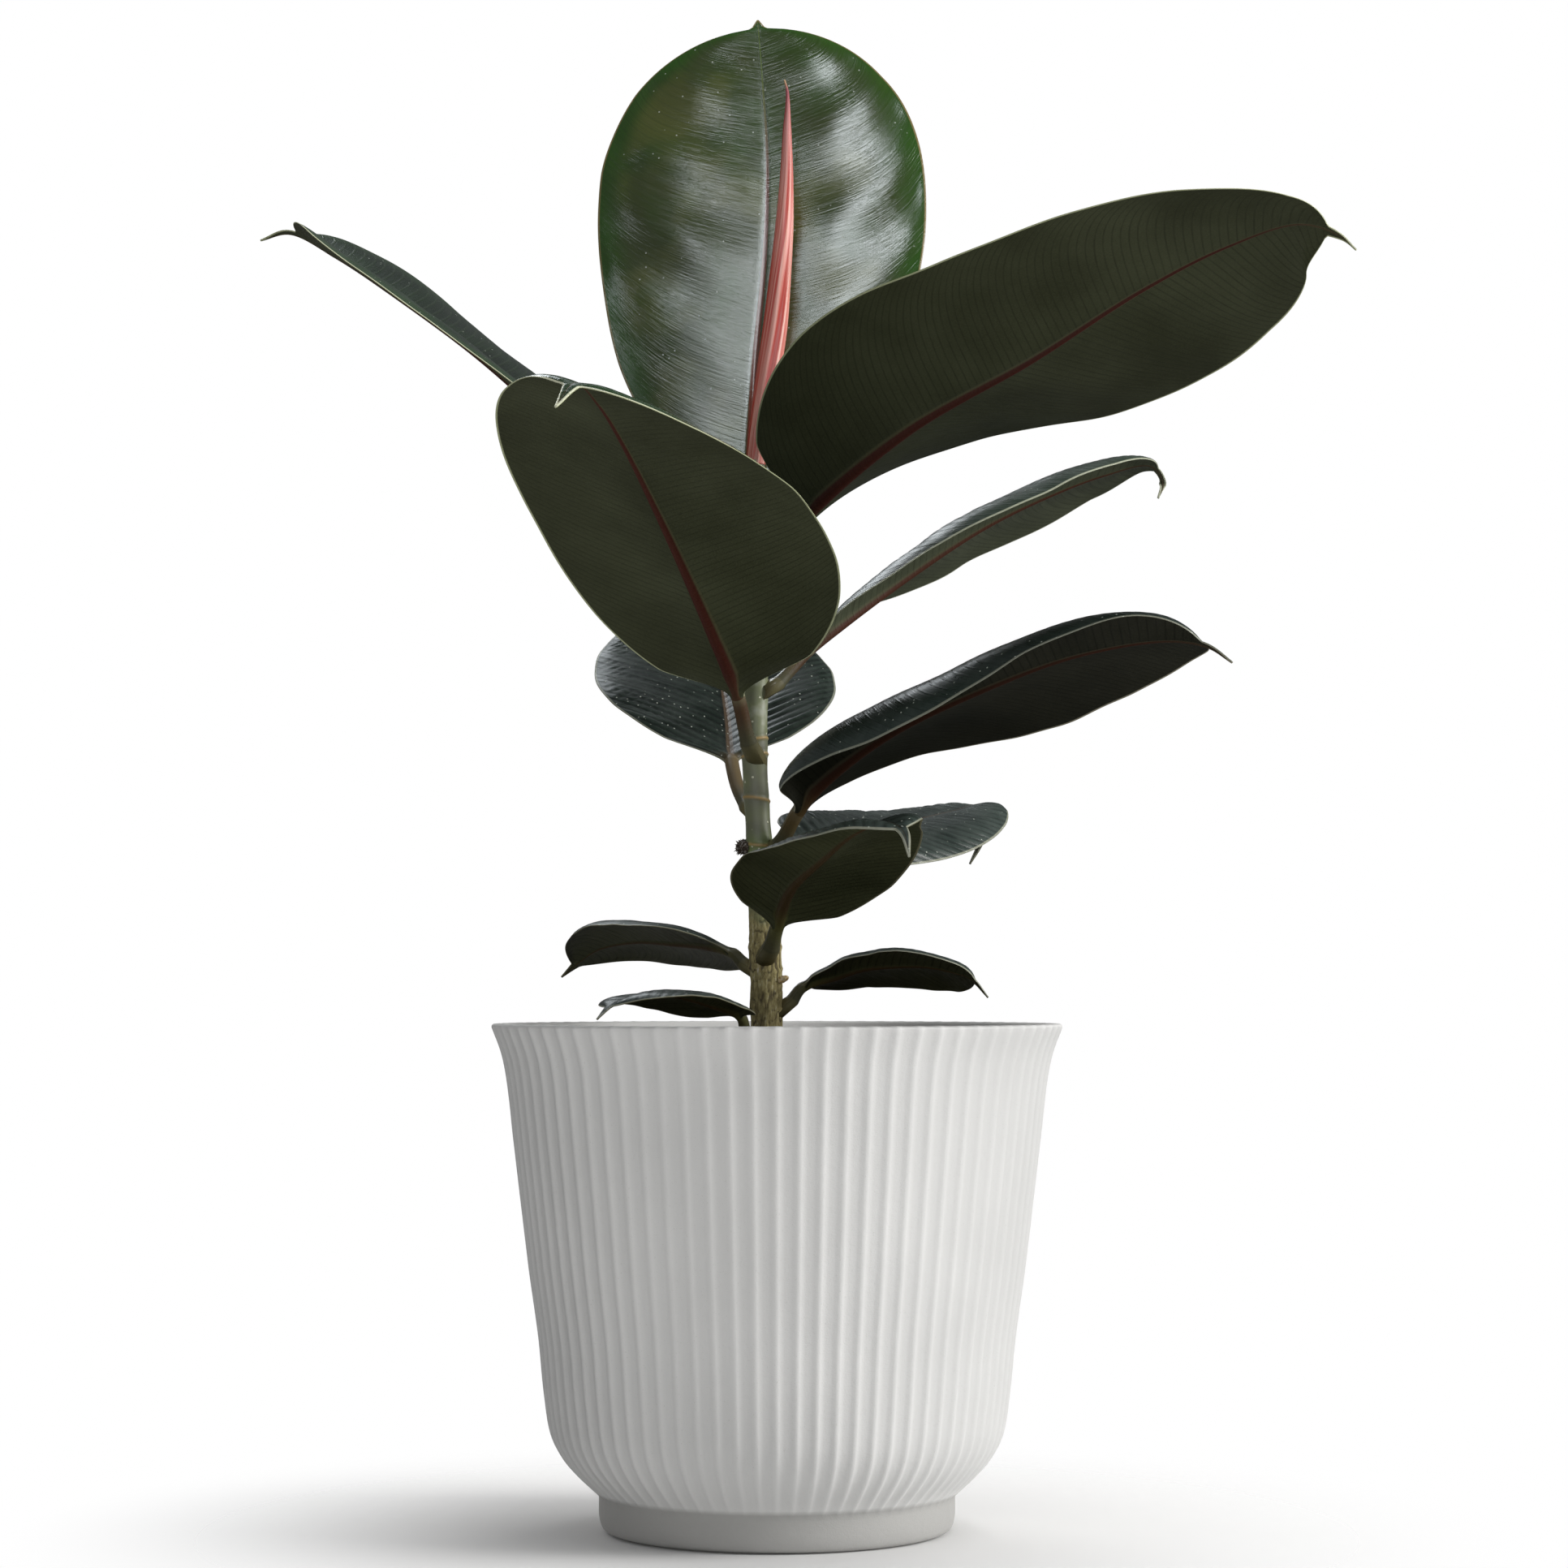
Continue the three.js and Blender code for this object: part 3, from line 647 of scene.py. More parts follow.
@dataclass(frozen=True)
class FigBark:
    """Living bark, as grown: a waxy skin above that splits into cork low down.

    To the eye it is satin grey-green with pale pores and tan leaf rings, mossier just over the cork, and
    dry, tan and fissured below. Sizes are in mm.
    """

    cork: Stops = ((0.0, "#4a3d28"), (0.42, "#7f744c"), (0.58, "#aba06f"), (1.0, "#ffffff"))
    skin: Stops = ((0.3, "#605e52"), (0.45, "#6f725d"), (0.6, "#787f5e"), (1.0, "#ffffff"))
    fissure: str = "#3a2f20"
    moss: str = "#6f8a3e"
    pore: str = "#dfe0c8"
    ring: str = "#a98c55"
    cork_turns: tuple[float, float] = (238, 246)
    moss_ends: tuple[float, float] = (262, 272)
    sway: float = 12.0
    plate: float = 1.6129
    patch: float = 14.286
    pore_gap: float = 3.0303
    rise: float = 0.35

    def made(self) -> bpy.types.Material:
        """Builds the finish.

        Returns:
            The material.
        """
        material, tree, shader = new_material("fig_bark")
        place = add(tree, "ShaderNodeTexCoord").outputs["Object"]
        height = add(tree, "ShaderNodeSeparateXYZ", {0: place}).outputs["Z"]
        pit, scar = (
            add(tree, "ShaderNodeAttribute", attribute_name=mark).outputs["Fac"] for mark in ("pit", "scar")
        )
        # Cork plates are three times as tall as they are wide
        drawn = add(tree, "ShaderNodeMapping", {"Vector": place, "Scale": (1.0, 1.0, 0.33)})
        plates = add(tree, "ShaderNodeTexNoise", {"Vector": drawn, "Scale": scale_for(self.plate),
                                                  "Detail": 5.0, "Roughness": 0.7})
        cork = add(tree, "ShaderNodeValToRGB", {0: plates})
        depth = add(tree, "ShaderNodeMapRange", {0: pit, 1: -0.36, 2: -0.12, 3: 0.85, 4: 0.0})
        split = add(tree, "ShaderNodeMix", {0: depth, 6: cork.outputs[0], 7: linear(self.fissure)},
                    data_type="RGBA")
        wander = add(tree, "ShaderNodeTexNoise", {"Vector": place, "Scale": scale_for(self.patch),
                                                  "Detail": 3.0})
        skin = add(tree, "ShaderNodeValToRGB", {0: wander})
        for ramp, stops in ((cork, self.cork), (skin, self.skin)):
            set_stops(ramp.color_ramp, stops)
        over = add(tree, "ShaderNodeMapRange", {0: height, 1: self.moss_ends[0] * MM,
                                                2: self.moss_ends[1] * MM, 3: 0.7, 4: 0.0})
        mossy = add(tree, "ShaderNodeMath", {0: over, 1: wander}, operation="MULTIPLY")
        # Breathing pores: pale raised dots some 0.8 mm across, in a third of their cells
        pores = add(tree, "ShaderNodeTexVoronoi", {"Vector": place, "Scale": scale_for(self.pore_gap)})
        pick = add(tree, "ShaderNodeSeparateColor", {0: pores.outputs["Color"]})
        some = add(tree, "ShaderNodeMath", {0: pick, 1: 0.66}, operation="GREATER_THAN")
        dot = add(tree, "ShaderNodeMapRange", {0: pores.outputs["Distance"], 1: 0.1, 2: 0.19, 3: 1.0,
                                               4: 0.0})
        dots = add(tree, "ShaderNodeMath", {0: dot, 1: some}, operation="MULTIPLY")
        # The cork's upper end is uneven
        low = add(tree, "ShaderNodeMath", {0: wander, 1: self.sway * MM, 2: height}, operation="MULTIPLY_ADD")
        woody = add(tree, "ShaderNodeMapRange", {0: low, 1: self.cork_turns[0] * MM,
                                                 2: self.cork_turns[1] * MM, 3: 1.0, 4: 0.0})
        colour = skin.outputs[0]
        for cover, coat in (
            (mossy, linear(self.moss)), (dots, linear(self.pore)), (scar, linear(self.ring)),
            (woody, split.outputs[2]),
        ):
            colour = add(tree, "ShaderNodeMix", {0: cover, 6: colour, 7: coat}, data_type="RGBA").outputs[2]
        rough = add(tree, "ShaderNodeMapRange", {0: woody, 3: 0.48, 4: 0.88})
        tall = add(tree, "ShaderNodeMath", {0: plates, 1: woody}, operation="MULTIPLY")
        taller = add(tree, "ShaderNodeMath", {0: dots, 1: 0.5, 2: tall}, operation="MULTIPLY_ADD")
        relief = add(tree, "ShaderNodeBump", {"Strength": 0.9, "Distance": self.rise * MM, "Height": taller})
        wire(tree, shader, {"Base Color": colour, "Roughness": rough, "Normal": relief})
        return material


@dataclass
class Stem:
    """The living stem: green and smooth above, corky and fissured below, ringed where leaves have dropped.

    The line gives x, y, z and the radius from the foot up, and the scars and the frill their heights.
    """

    line: tuple[tuple[float, float, float, float], ...] = (
        (-2, 0, 112, 5), (-3, 0, 140, 6.4), (-4, 0, 201, 6.2), (-4.7, 0, 233, 6.1), (-6.5, 0, 258, 5.4),
        (-7, 0, 266, 4.8), (-8.5, 0, 290, 4.8), (-8.8, 0, 306, 4.8), (-8, 1, 320, 4.6), (-8.5, 3, 365, 4.3),
        (-8.5, 6, 412, 3.7),
    )
    top: float = 413.2
    buried_to: float = 160.0
    corky_up_to: float = 237.0
    green_scars: tuple[float, ...] = (297.5, 303.5, 280.5, 263.5, 346.0, 362.0, 386.0)
    corky_scars: tuple[float, ...] = (200.2, 214.6, 184.0, 224.0)
    frill: float = 262.6
    ring_gap: float = 0.5
    around: int = 96

    def at(self, z: Numbers) -> Numbers:
        """Gives the centre's x and y and the radius at each height."""
        given = np.array(self.line)
        return np.stack([np.interp(z, given[:, 2], given[:, k]) for k in (0, 1, 3)], -1)

    def meet(self, points: Numbers, way: Numbers, inside: float) -> Numbers:
        """Slides points back until they stand just inside the bark.

        Args:
            points: the points in mm.
            way: the direction they grow in, away from the stem.
            inside: how far inside the bark they end.

        Returns:
            The points on the stem.
        """
        flat = math.hypot(way[0], way[1])
        back = -way[:2] / flat
        far = np.zeros(len(points))
        for _ in range(14):
            here = self.at(points[:, 2] - way[2] / flat * far)
            offset = points[:, :2] - here[:, :2]
            middle = offset @ back
            off = (offset**2).sum(1) - (here[:, 2] - inside) ** 2
            far = -middle - np.sqrt(np.maximum(middle**2 - off, 0))
        return points - way * (far / flat)[:, None]

    def softened(self, centre: Numbers) -> Numbers:
        """Softens the turning points of the line over 12 mm.

        Args:
            centre: the x, y and radius of each ring, ring_gap apart.

        Returns:
            The same, softened.
        """
        half = 12
        window = np.exp(-0.5 * np.linspace(-2, 2, 2 * half + 1) ** 2)
        padded = np.pad(centre, ((half, half), (0, 0)), mode="edge")
        return np.stack([np.convolve(padded[:, k], window / window.sum(), "valid") for k in range(3)], -1)

    def mesh(self) -> Piece:
        """Builds the bark with its leaf scars and fissures.

        Returns:
            The stem's mesh.
        """
        heights = np.concatenate([
            np.linspace(self.line[0][2], self.buried_to - 2, 10),
            np.arange(self.buried_to, self.top - 0.6, self.ring_gap), [self.top],
        ])
        turn = np.linspace(0, 2 * np.pi, self.around, endpoint=False)
        z, angle = np.meshgrid(heights, turn, indexing="ij")
        centre = self.softened(self.at(heights))
        out = np.stack([np.cos(angle), np.sin(angle)], -1)
        corky = 1 - eased(self.corky_up_to - 5, self.corky_up_to + 3, z)
        # Fissures are three times as long as they are wide
        skin = np.stack([out[..., 0] * 6, out[..., 1] * 6, z * 0.33], -1)
        coarse, fine = Grain(11).at(skin, 1.25), Grain(12).at(skin, 0.7)
        lumps = Grain(13).at(np.stack([out[..., 0] * 6, out[..., 1] * 6, z], -1), 7.0)
        fissure = -0.38 * np.maximum(1 - 4.2 * np.abs(coarse), 0) + 0.12 * fine
        rise = corky * (fissure + 0.25 * lumps) + (1 - corky) * (0.05 * lumps + 0.02 * fine)
        # A green scar is a sharp ring with a groove over it, on a broad swelling
        for level in self.green_scars:
            gap = z - level - (0.9 * np.sin(angle + level) + 0.35 * Grain(14).at(skin, 5.0))
            rise += 0.42 * bell(gap, 0.55) - 0.1 * bell(gap - 1.3, 0.7)
            rise += 0.22 * bell(gap, 5.0)
        for level in self.corky_scars:
            gap = z - level - 0.7 * np.sin(2 * angle + level)
            rise += 0.4 * bell(gap, 0.9) * (0.7 + 0.5 * coarse) + 0.2 * bell(gap, 4.0)
        # The frilled scar that the dried leaf base hangs on
        rise += 0.55 * (bell(z - self.frill, 0.8) * (0.5 + 0.5 * Grain(15).at(skin, 0.9)))
        radius = centre[:, 2][:, None] + rise
        grid = np.stack([centre[:, 0][:, None] + out[..., 0] * radius,
                         centre[:, 1][:, None] + out[..., 1] * radius, z], -1)
        piece = Piece("stem_bark")
        piece.rows(grid, pit=np.where(corky > 0.5, fissure, 0.0), scar=self.scar_strength(z, angle))
        return piece

    def scar_strength(self, z: Numbers, angle: Numbers) -> Numbers:
        """Says how much each point belongs to a green leaf scar.

        Args:
            z: each point's height.
            angle: each point's place round the stem.

        Returns:
            Shares from 0 to 1.
        """
        strength = np.zeros_like(z)
        for level in self.green_scars:
            strength = np.maximum(strength, bell(z - level - 0.9 * np.sin(angle + level), 0.55))
        return strength

    def build(self) -> bpy.types.Object:
        """Makes the stem and its finish."""
        return self.mesh().finished([FigBark().made()], "stem", "bark")


@dataclass(frozen=True)
class Half:
    """One half of a blade: how it folds up from the midrib and curls to its margin.

    Both are in degrees, base to tip, and share is its part of the leaf's half width.
    """

    fold: tuple[float, ...]
    curl: tuple[float, ...]
    share: float = 1.0


@dataclass(frozen=True)
class Midrib:
    """A leaf's line, ring by ring, and which ways the blade lies there.

    far is in mm from the line's start, and u is the place along the blade, from base 0 to tip 1.
    """

    far: Numbers
    u: Numbers
    centre: Numbers
    tangent: Numbers
    side: Numbers
    up: Numbers
    stalk_length: float
    blade_length: float


# Where the points across each half of a blade lie, from midrib 0 to margin 1, closer where both curve
COLUMNS = np.concatenate(
    [[0, 0.006, 0.016, 0.03, 0.05, 0.078], np.linspace(0.115, 0.94, 17), [0.966, 0.984, 0.995, 1.0]]
)


@dataclass
class Leaf:
    """One leaf in a single growth: round stalk, midrib and thin blade, set by its midrib's points.

    The looks are the directions that its upper face turns to, base to tip. The midrib's half width and
    height are given as what it keeps at the tip and what it has more at the base, and the ripples as waves
    of the margin from base to tip.
    """

    name: str
    stalk: list[Point]
    blade: list[Point]
    width: float
    looks: list[Point]
    left: Half
    right: Half
    widest: float = 0.5
    base: tuple[float, float] = (2.2, 2.0)
    tip: tuple[float, float] = (2.2, 1.5)
    drip: float = 14.0
    power: float = 2.0
    age: LeafAge = LeafAge.GROWN
    ridge: float = 0.1
    wave: float = 0.5
    swell: float = 0.3
    swell_pitch: float = 38.0
    swell_start: tuple[float, float] = (-1.0, 13.0)
    seed: int = 1
    thickness: float = 0.6
    brim: float = 0.22
    stalk_radius: float = 2.7
    stalk_in_bark: float = 0.35
    drip_width: float = 2.6
    vein_pitch: float = 4.6
    vein_slant: float = 0.27
    vein_hook: float = 0.3
    rib_half: tuple[float, float] = (0.45, 2.6)
    rib_tall: tuple[float, float] = (0.15, 2.0)
    groove_deep: float = 0.35
    groove_half: float = 1.3
    ripples: tuple[float, ...] = (2.5, 4.3, 7.1)
    ring_gap: float = 1.05
    curve_steps: int = 40
    section_steps: int = 56

    def outline(self, t: Numbers) -> Numbers:
        """Gives half the blade's width: rounded at the base, fuller or finer towards the tip.

        Args:
            t: places from 0 at the base to 1 where the drip tip starts.

        Returns:
            Shares of the half width, from 0 to 1.
        """
        low = np.clip((self.widest - t) / self.widest, 0, 1)
        high = np.clip((t - self.widest) / (1 - self.widest), 0, 1)
        near_base = np.maximum(1 - low ** self.base[0], 0) ** (1 / self.base[1])
        near_tip = np.maximum(1 - high ** self.tip[0], 0) ** (1 / self.tip[1])
        return np.where(t < self.widest, near_base, near_tip)

    def midrib(self) -> Midrib:
        """Lays the leaf's line from just outside the bark to the end of its drip tip.

        Returns:
            The line, with rings 1 mm apart on the stalk and closer at both ends of the blade.
        """
        line = smooth_line([*self.stalk, *self.blade], self.curve_steps)
        lengths = lengths_of(line)
        stalk_length = lengths[len(self.stalk) * self.curve_steps]
        blade_length = lengths[-1] - stalk_length
        even = np.linspace(0, 1, max(int(blade_length / self.ring_gap), 60))
        spread = 0.75 * even + 0.25 * (0.5 - 0.5 * np.cos(np.pi * even))
        start = min(stalk_length * 0.4, 6)
        far = np.concatenate([
            np.arange(start, stalk_length - 0.5, 1.0), stalk_length + blade_length * spread,
        ])
        # The tangent is taken over 1.2 mm to each side
        back, centre, ahead = (
            np.stack([np.interp(s, lengths, line[:, k]) for k in range(3)], -1)
            for s in (np.maximum(far - 1.2, 0), far, np.minimum(far + 1.2, lengths[-1]))
        )
        tangent = ahead - back
        tangent /= np.linalg.norm(tangent, axis=1)[:, None]
        u = np.clip((far - stalk_length) / blade_length, 0, 1)
        looks = np.array([np.array(look) / np.linalg.norm(look) for look in self.looks])
        up = np.stack([along(tuple(looks[:, k]), u) for k in range(3)], -1)
        up -= (up * tangent).sum(1)[:, None] * tangent
        up /= np.linalg.norm(up, axis=1)[:, None]
        return Midrib(far, u, centre, tangent, np.cross(tangent, up), up, stalk_length, blade_length)

    def widths(self, midrib: Midrib) -> Numbers:
        """Gives each ring's half width in mm, with the drip tip's narrow tail.

        Args:
            midrib: the leaf's line.

        Returns:
            One half width for each ring.
        """
        body_end = (midrib.blade_length - self.drip) / midrib.blade_length
        body = self.width / 2 * self.outline(np.minimum(midrib.u / body_end, 1))
        beyond = np.clip((midrib.u - body_end) / (1 - body_end), 0, 1)
        tail = self.drip_width * (1 - beyond) * eased(0, 0.06, midrib.u) + 0.3
        return np.hypot(body, tail)

    def section(self, half: Half, u: Numbers, width: Numbers) -> tuple[Numbers, Numbers, Numbers]:
        """Walks one half of the cross-section from the midrib out.

        Args:
            half: the fold and curl.
            u: each ring's place along the blade.
            width: each ring's half width in mm.

        Returns:
            How far across, how far up, and the slope angle, each as ring by column.
        """
        steps = self.section_steps
        fullness = width / (self.width / 2)
        rise = along(half.fold, u)
        bend = along(half.curl, u) * (1 if len(half.curl) > 1 else 0.35 + 0.65 * fullness)
        middles = (np.arange(steps) + 0.5) / steps
        angle = np.radians(rise[:, None] - bend[:, None] * middles**self.power)
        step = (width * half.share / steps)[:, None]
        walked = [np.concatenate([np.zeros((len(u), 1)), np.cumsum(part(angle) * step, 1)], 1)
                  for part in (np.cos, np.sin)]
        place = COLUMNS * steps
        low = np.minimum(place.astype(int), steps - 1)
        rest = place - low
        x, z = (w[:, low] * (1 - rest) + w[:, low + 1] * rest for w in walked)
        slope = np.radians(rise[:, None] - bend[:, None] * COLUMNS**self.power)
        return x, z, slope

    def stalk_loop(self, out: Numbers) -> tuple[Numbers, Numbers]:
        """Rounds the stalk, a little thicker at the bark, with as many points as the blade has.

        Args:
            out: each ring's distance from the first in mm.

        Returns:
            How far across and how far up each point is, as ring by point.
        """
        n = len(COLUMNS) - 1
        turn = np.pi / 2 * np.concatenate([-np.arange(n, 0, -1), np.arange(n + 1)]) / n
        radius = (self.stalk_radius * (1 + 0.3 * np.exp(-out / 3.0)))[:, None]
        x, z = np.sin(turn) * radius, np.cos(turn) * radius
        # 0.1 mm keeps the two faces and the brims apart where they meet
        return (np.concatenate([x, radius + 0.1, x[:, ::-1], -radius - 0.1], 1),
                np.concatenate([z + 0.1, 0 * radius, -z[:, ::-1] - 0.1, 0 * radius], 1))

    def mesh(self, stem: Stem) -> Piece:
        """Builds the leaf from the stem out to its drip tip.

        Args:
            stem: the stem it grows from.

        Returns:
            The leaf's mesh, with its upper face and its underside in their own finishes.
        """
        midrib = self.midrib()
        u, width = midrib.u, self.widths(midrib)
        left, right = (self.section(half, u, width) for half in (self.left, self.right))
        x, z, slope = (
            np.concatenate([sign * a[:, :0:-1], b], 1) for sign, a, b in zip((-1, 1, -1), left, right)
        )
        n = len(COLUMNS) - 1
        slope[:, n] = (slope[:, n - 1] + slope[:, n + 1]) / 2
        share = np.concatenate([-COLUMNS[:0:-1], COLUMNS])
        reach = np.where(share < 0, self.left.share, self.right.share)
        across = share * reach * width[:, None]
        edge = (1 - np.abs(share)) * reach * width[:, None]
        run = (midrib.far - midrib.stalk_length)[:, None]
        # The midrib thins out towards the tip, and a wider leaf has a stouter one
        stout = min(self.width / 100, 1.1) ** 0.5
        rib_half = (self.rib_half[0] + self.rib_half[1] * (1 - u) ** 1.35)[:, None] * stout
        rib_tall = (self.rib_tall[0] + self.rib_tall[1] * (1 - u) ** 1.3)[:, None] * stout
        rib = np.abs(across) / rib_half
        # A lateral vein leaves the midrib at a small slant and bends forward near the margin
        hook = self.vein_hook * width[:, None] * np.abs(share) ** 4
        vein = run - self.vein_slant * np.abs(across) - hook
        offset = self.relief(u, share, across, edge, vein, width)
        lean, stand = np.sin(slope), np.cos(slope)
        flat_x, flat_z = x - lean * offset, z + stand * offset
        # The upper face has a groove over the midrib, and the midrib's dome stands out below
        skin = self.thickness / 2 * (1 - 0.45 * eased(0.9, 1, np.abs(share)))
        over = skin - self.groove_deep * bell(across, self.groove_half) * (1 - u[:, None])
        below = skin + np.maximum(1 - np.minimum(rib, 1) ** 2, 0) ** 0.8 * rib_tall
        blade_x = np.concatenate([
            flat_x - lean * over, flat_x[:, [-1]] + stand[:, [-1]] * self.brim,
            (flat_x + lean * below)[:, ::-1], flat_x[:, [0]] - stand[:, [0]] * self.brim,
        ], 1)
        blade_z = np.concatenate([
            flat_z + stand * over, flat_z[:, [-1]] + lean[:, [-1]] * self.brim,
            (flat_z - stand * below)[:, ::-1], flat_z[:, [0]] - lean[:, [0]] * self.brim,
        ], 1)
        out = midrib.far - midrib.far[0]
        grown = eased(0, 0.06, u)[:, None]
        loop_x, loop_z = (
            ring * (1 - grown) + blade * grown
            for ring, blade in zip(self.stalk_loop(out), (blade_x, blade_z))
        )
        grid = midrib.centre[:, None] + midrib.side[:, None] * loop_x[..., None]
        grid = grid + midrib.up[:, None] * loop_z[..., None]
        flare = grid[0] + (grid[0] - midrib.centre[0]) * 0.12
        foot = stem.meet(flare, midrib.tangent[0] * (1, 1, 0.55), self.stalk_in_bark)

        values = (vein, across, edge, rib, run, u[:, None], out[:, None])
        marks = {}
        for name, value in zip((*LEAF_MARKS, "root"), values):
            carried = looped(np.broadcast_to(value, across.shape))
            # The foot's ring stands 2 mm deeper than the first
            at_foot = np.full_like(carried[:1], -2.0) if name == "root" else carried[:1]
            marks[name] = np.concatenate([at_foot, carried])
        columns = 2 * n + 1
        finish = np.array([Face.UPPER] * columns + [Face.UNDER] * (columns + 2))
        piece = Piece(self.name + "_blade")
        piece.rows(np.concatenate([foot[None], grid]), finish, **marks)
        return piece

    def relief(self, u: Numbers, share: Numbers, across: Numbers, edge: Numbers, vein: Numbers,
               width: Numbers) -> Numbers:
        """Raises the blade between its veins and lets its margin wave.

        Args:
            u: each ring's place along the blade.
            share: each column's place from -1 to 1.
            across: mm from the midrib.
            edge: mm from the margin.
            vein: mm along the midrib to the root of the vein at each point.
            width: each ring's half width in mm.

        Returns:
            How far each point is lifted off the flat blade, in mm.
        """
        rng = np.random.default_rng(self.seed)
        fade = eased(2, 8, np.abs(across)) * eased(0.5, 5, edge) * eased(0.02, 0.12, u)[:, None]
        fade = fade * (1 - eased(0.86, 0.97, u)[:, None])
        # Not every vein stands as proud as the next
        drawn_out = np.stack([vein, across / 3, 0 * vein], -1)
        wander = vein + 0.9 * Grain(self.seed + 30).at(drawn_out, 6.0)
        crease = np.abs(np.sin(np.pi * wander / self.vein_pitch)) ** 0.8
        patch = Grain(self.seed + 40).at(drawn_out, 7.0)
        lifted = self.ridge * crease * (1 + 0.7 * patch) * fade
        wave = np.zeros_like(across)
        for turns in self.ripples:
            phase = rng.uniform(0, 2 * np.pi, 2)
            swing = np.where(share < 0, phase[0], phase[1])
            wave += np.sin(2 * np.pi * turns * u[:, None] + swing) / turns**0.7
        # Broad swells across the veins, with uneven places some 24 mm wide
        slanted = vein - 0.2 * np.abs(across) - np.where(share < 0, *self.swell_start)
        bulge = np.sin(2 * np.pi * slanted / self.swell_pitch) * (0.3 + 0.7 * eased(0.2, 0.55, u)[:, None])
        spot = Grain(self.seed + 60).at(np.stack([slanted / 1.6, across, 0 * vein], -1), 24.0)
        lifted += self.swell * (0.75 * bulge + 0.6 * spot) * fade * np.clip(np.abs(share) * 2.5, 0, 1)
        full = (width / (self.width / 2))[:, None]
        calm = eased(0.04, 0.2, u)[:, None] * (1 - eased(0.8, 0.95, u)[:, None]) * full
        return lifted + self.wave * wave * np.abs(share) ** 3.5 * calm

    def build(self, stem: Stem, skins: dict[LeafAge, list[bpy.types.Material]]) -> bpy.types.Object:
        """Makes the leaf.

        Args:
            stem: the stem it grows from.
            skins: the upper and under finish for each age.

        Returns:
            The leaf's object.
        """
        return self.mesh(stem).finished(skins[self.age], self.name, "leaf_skin")


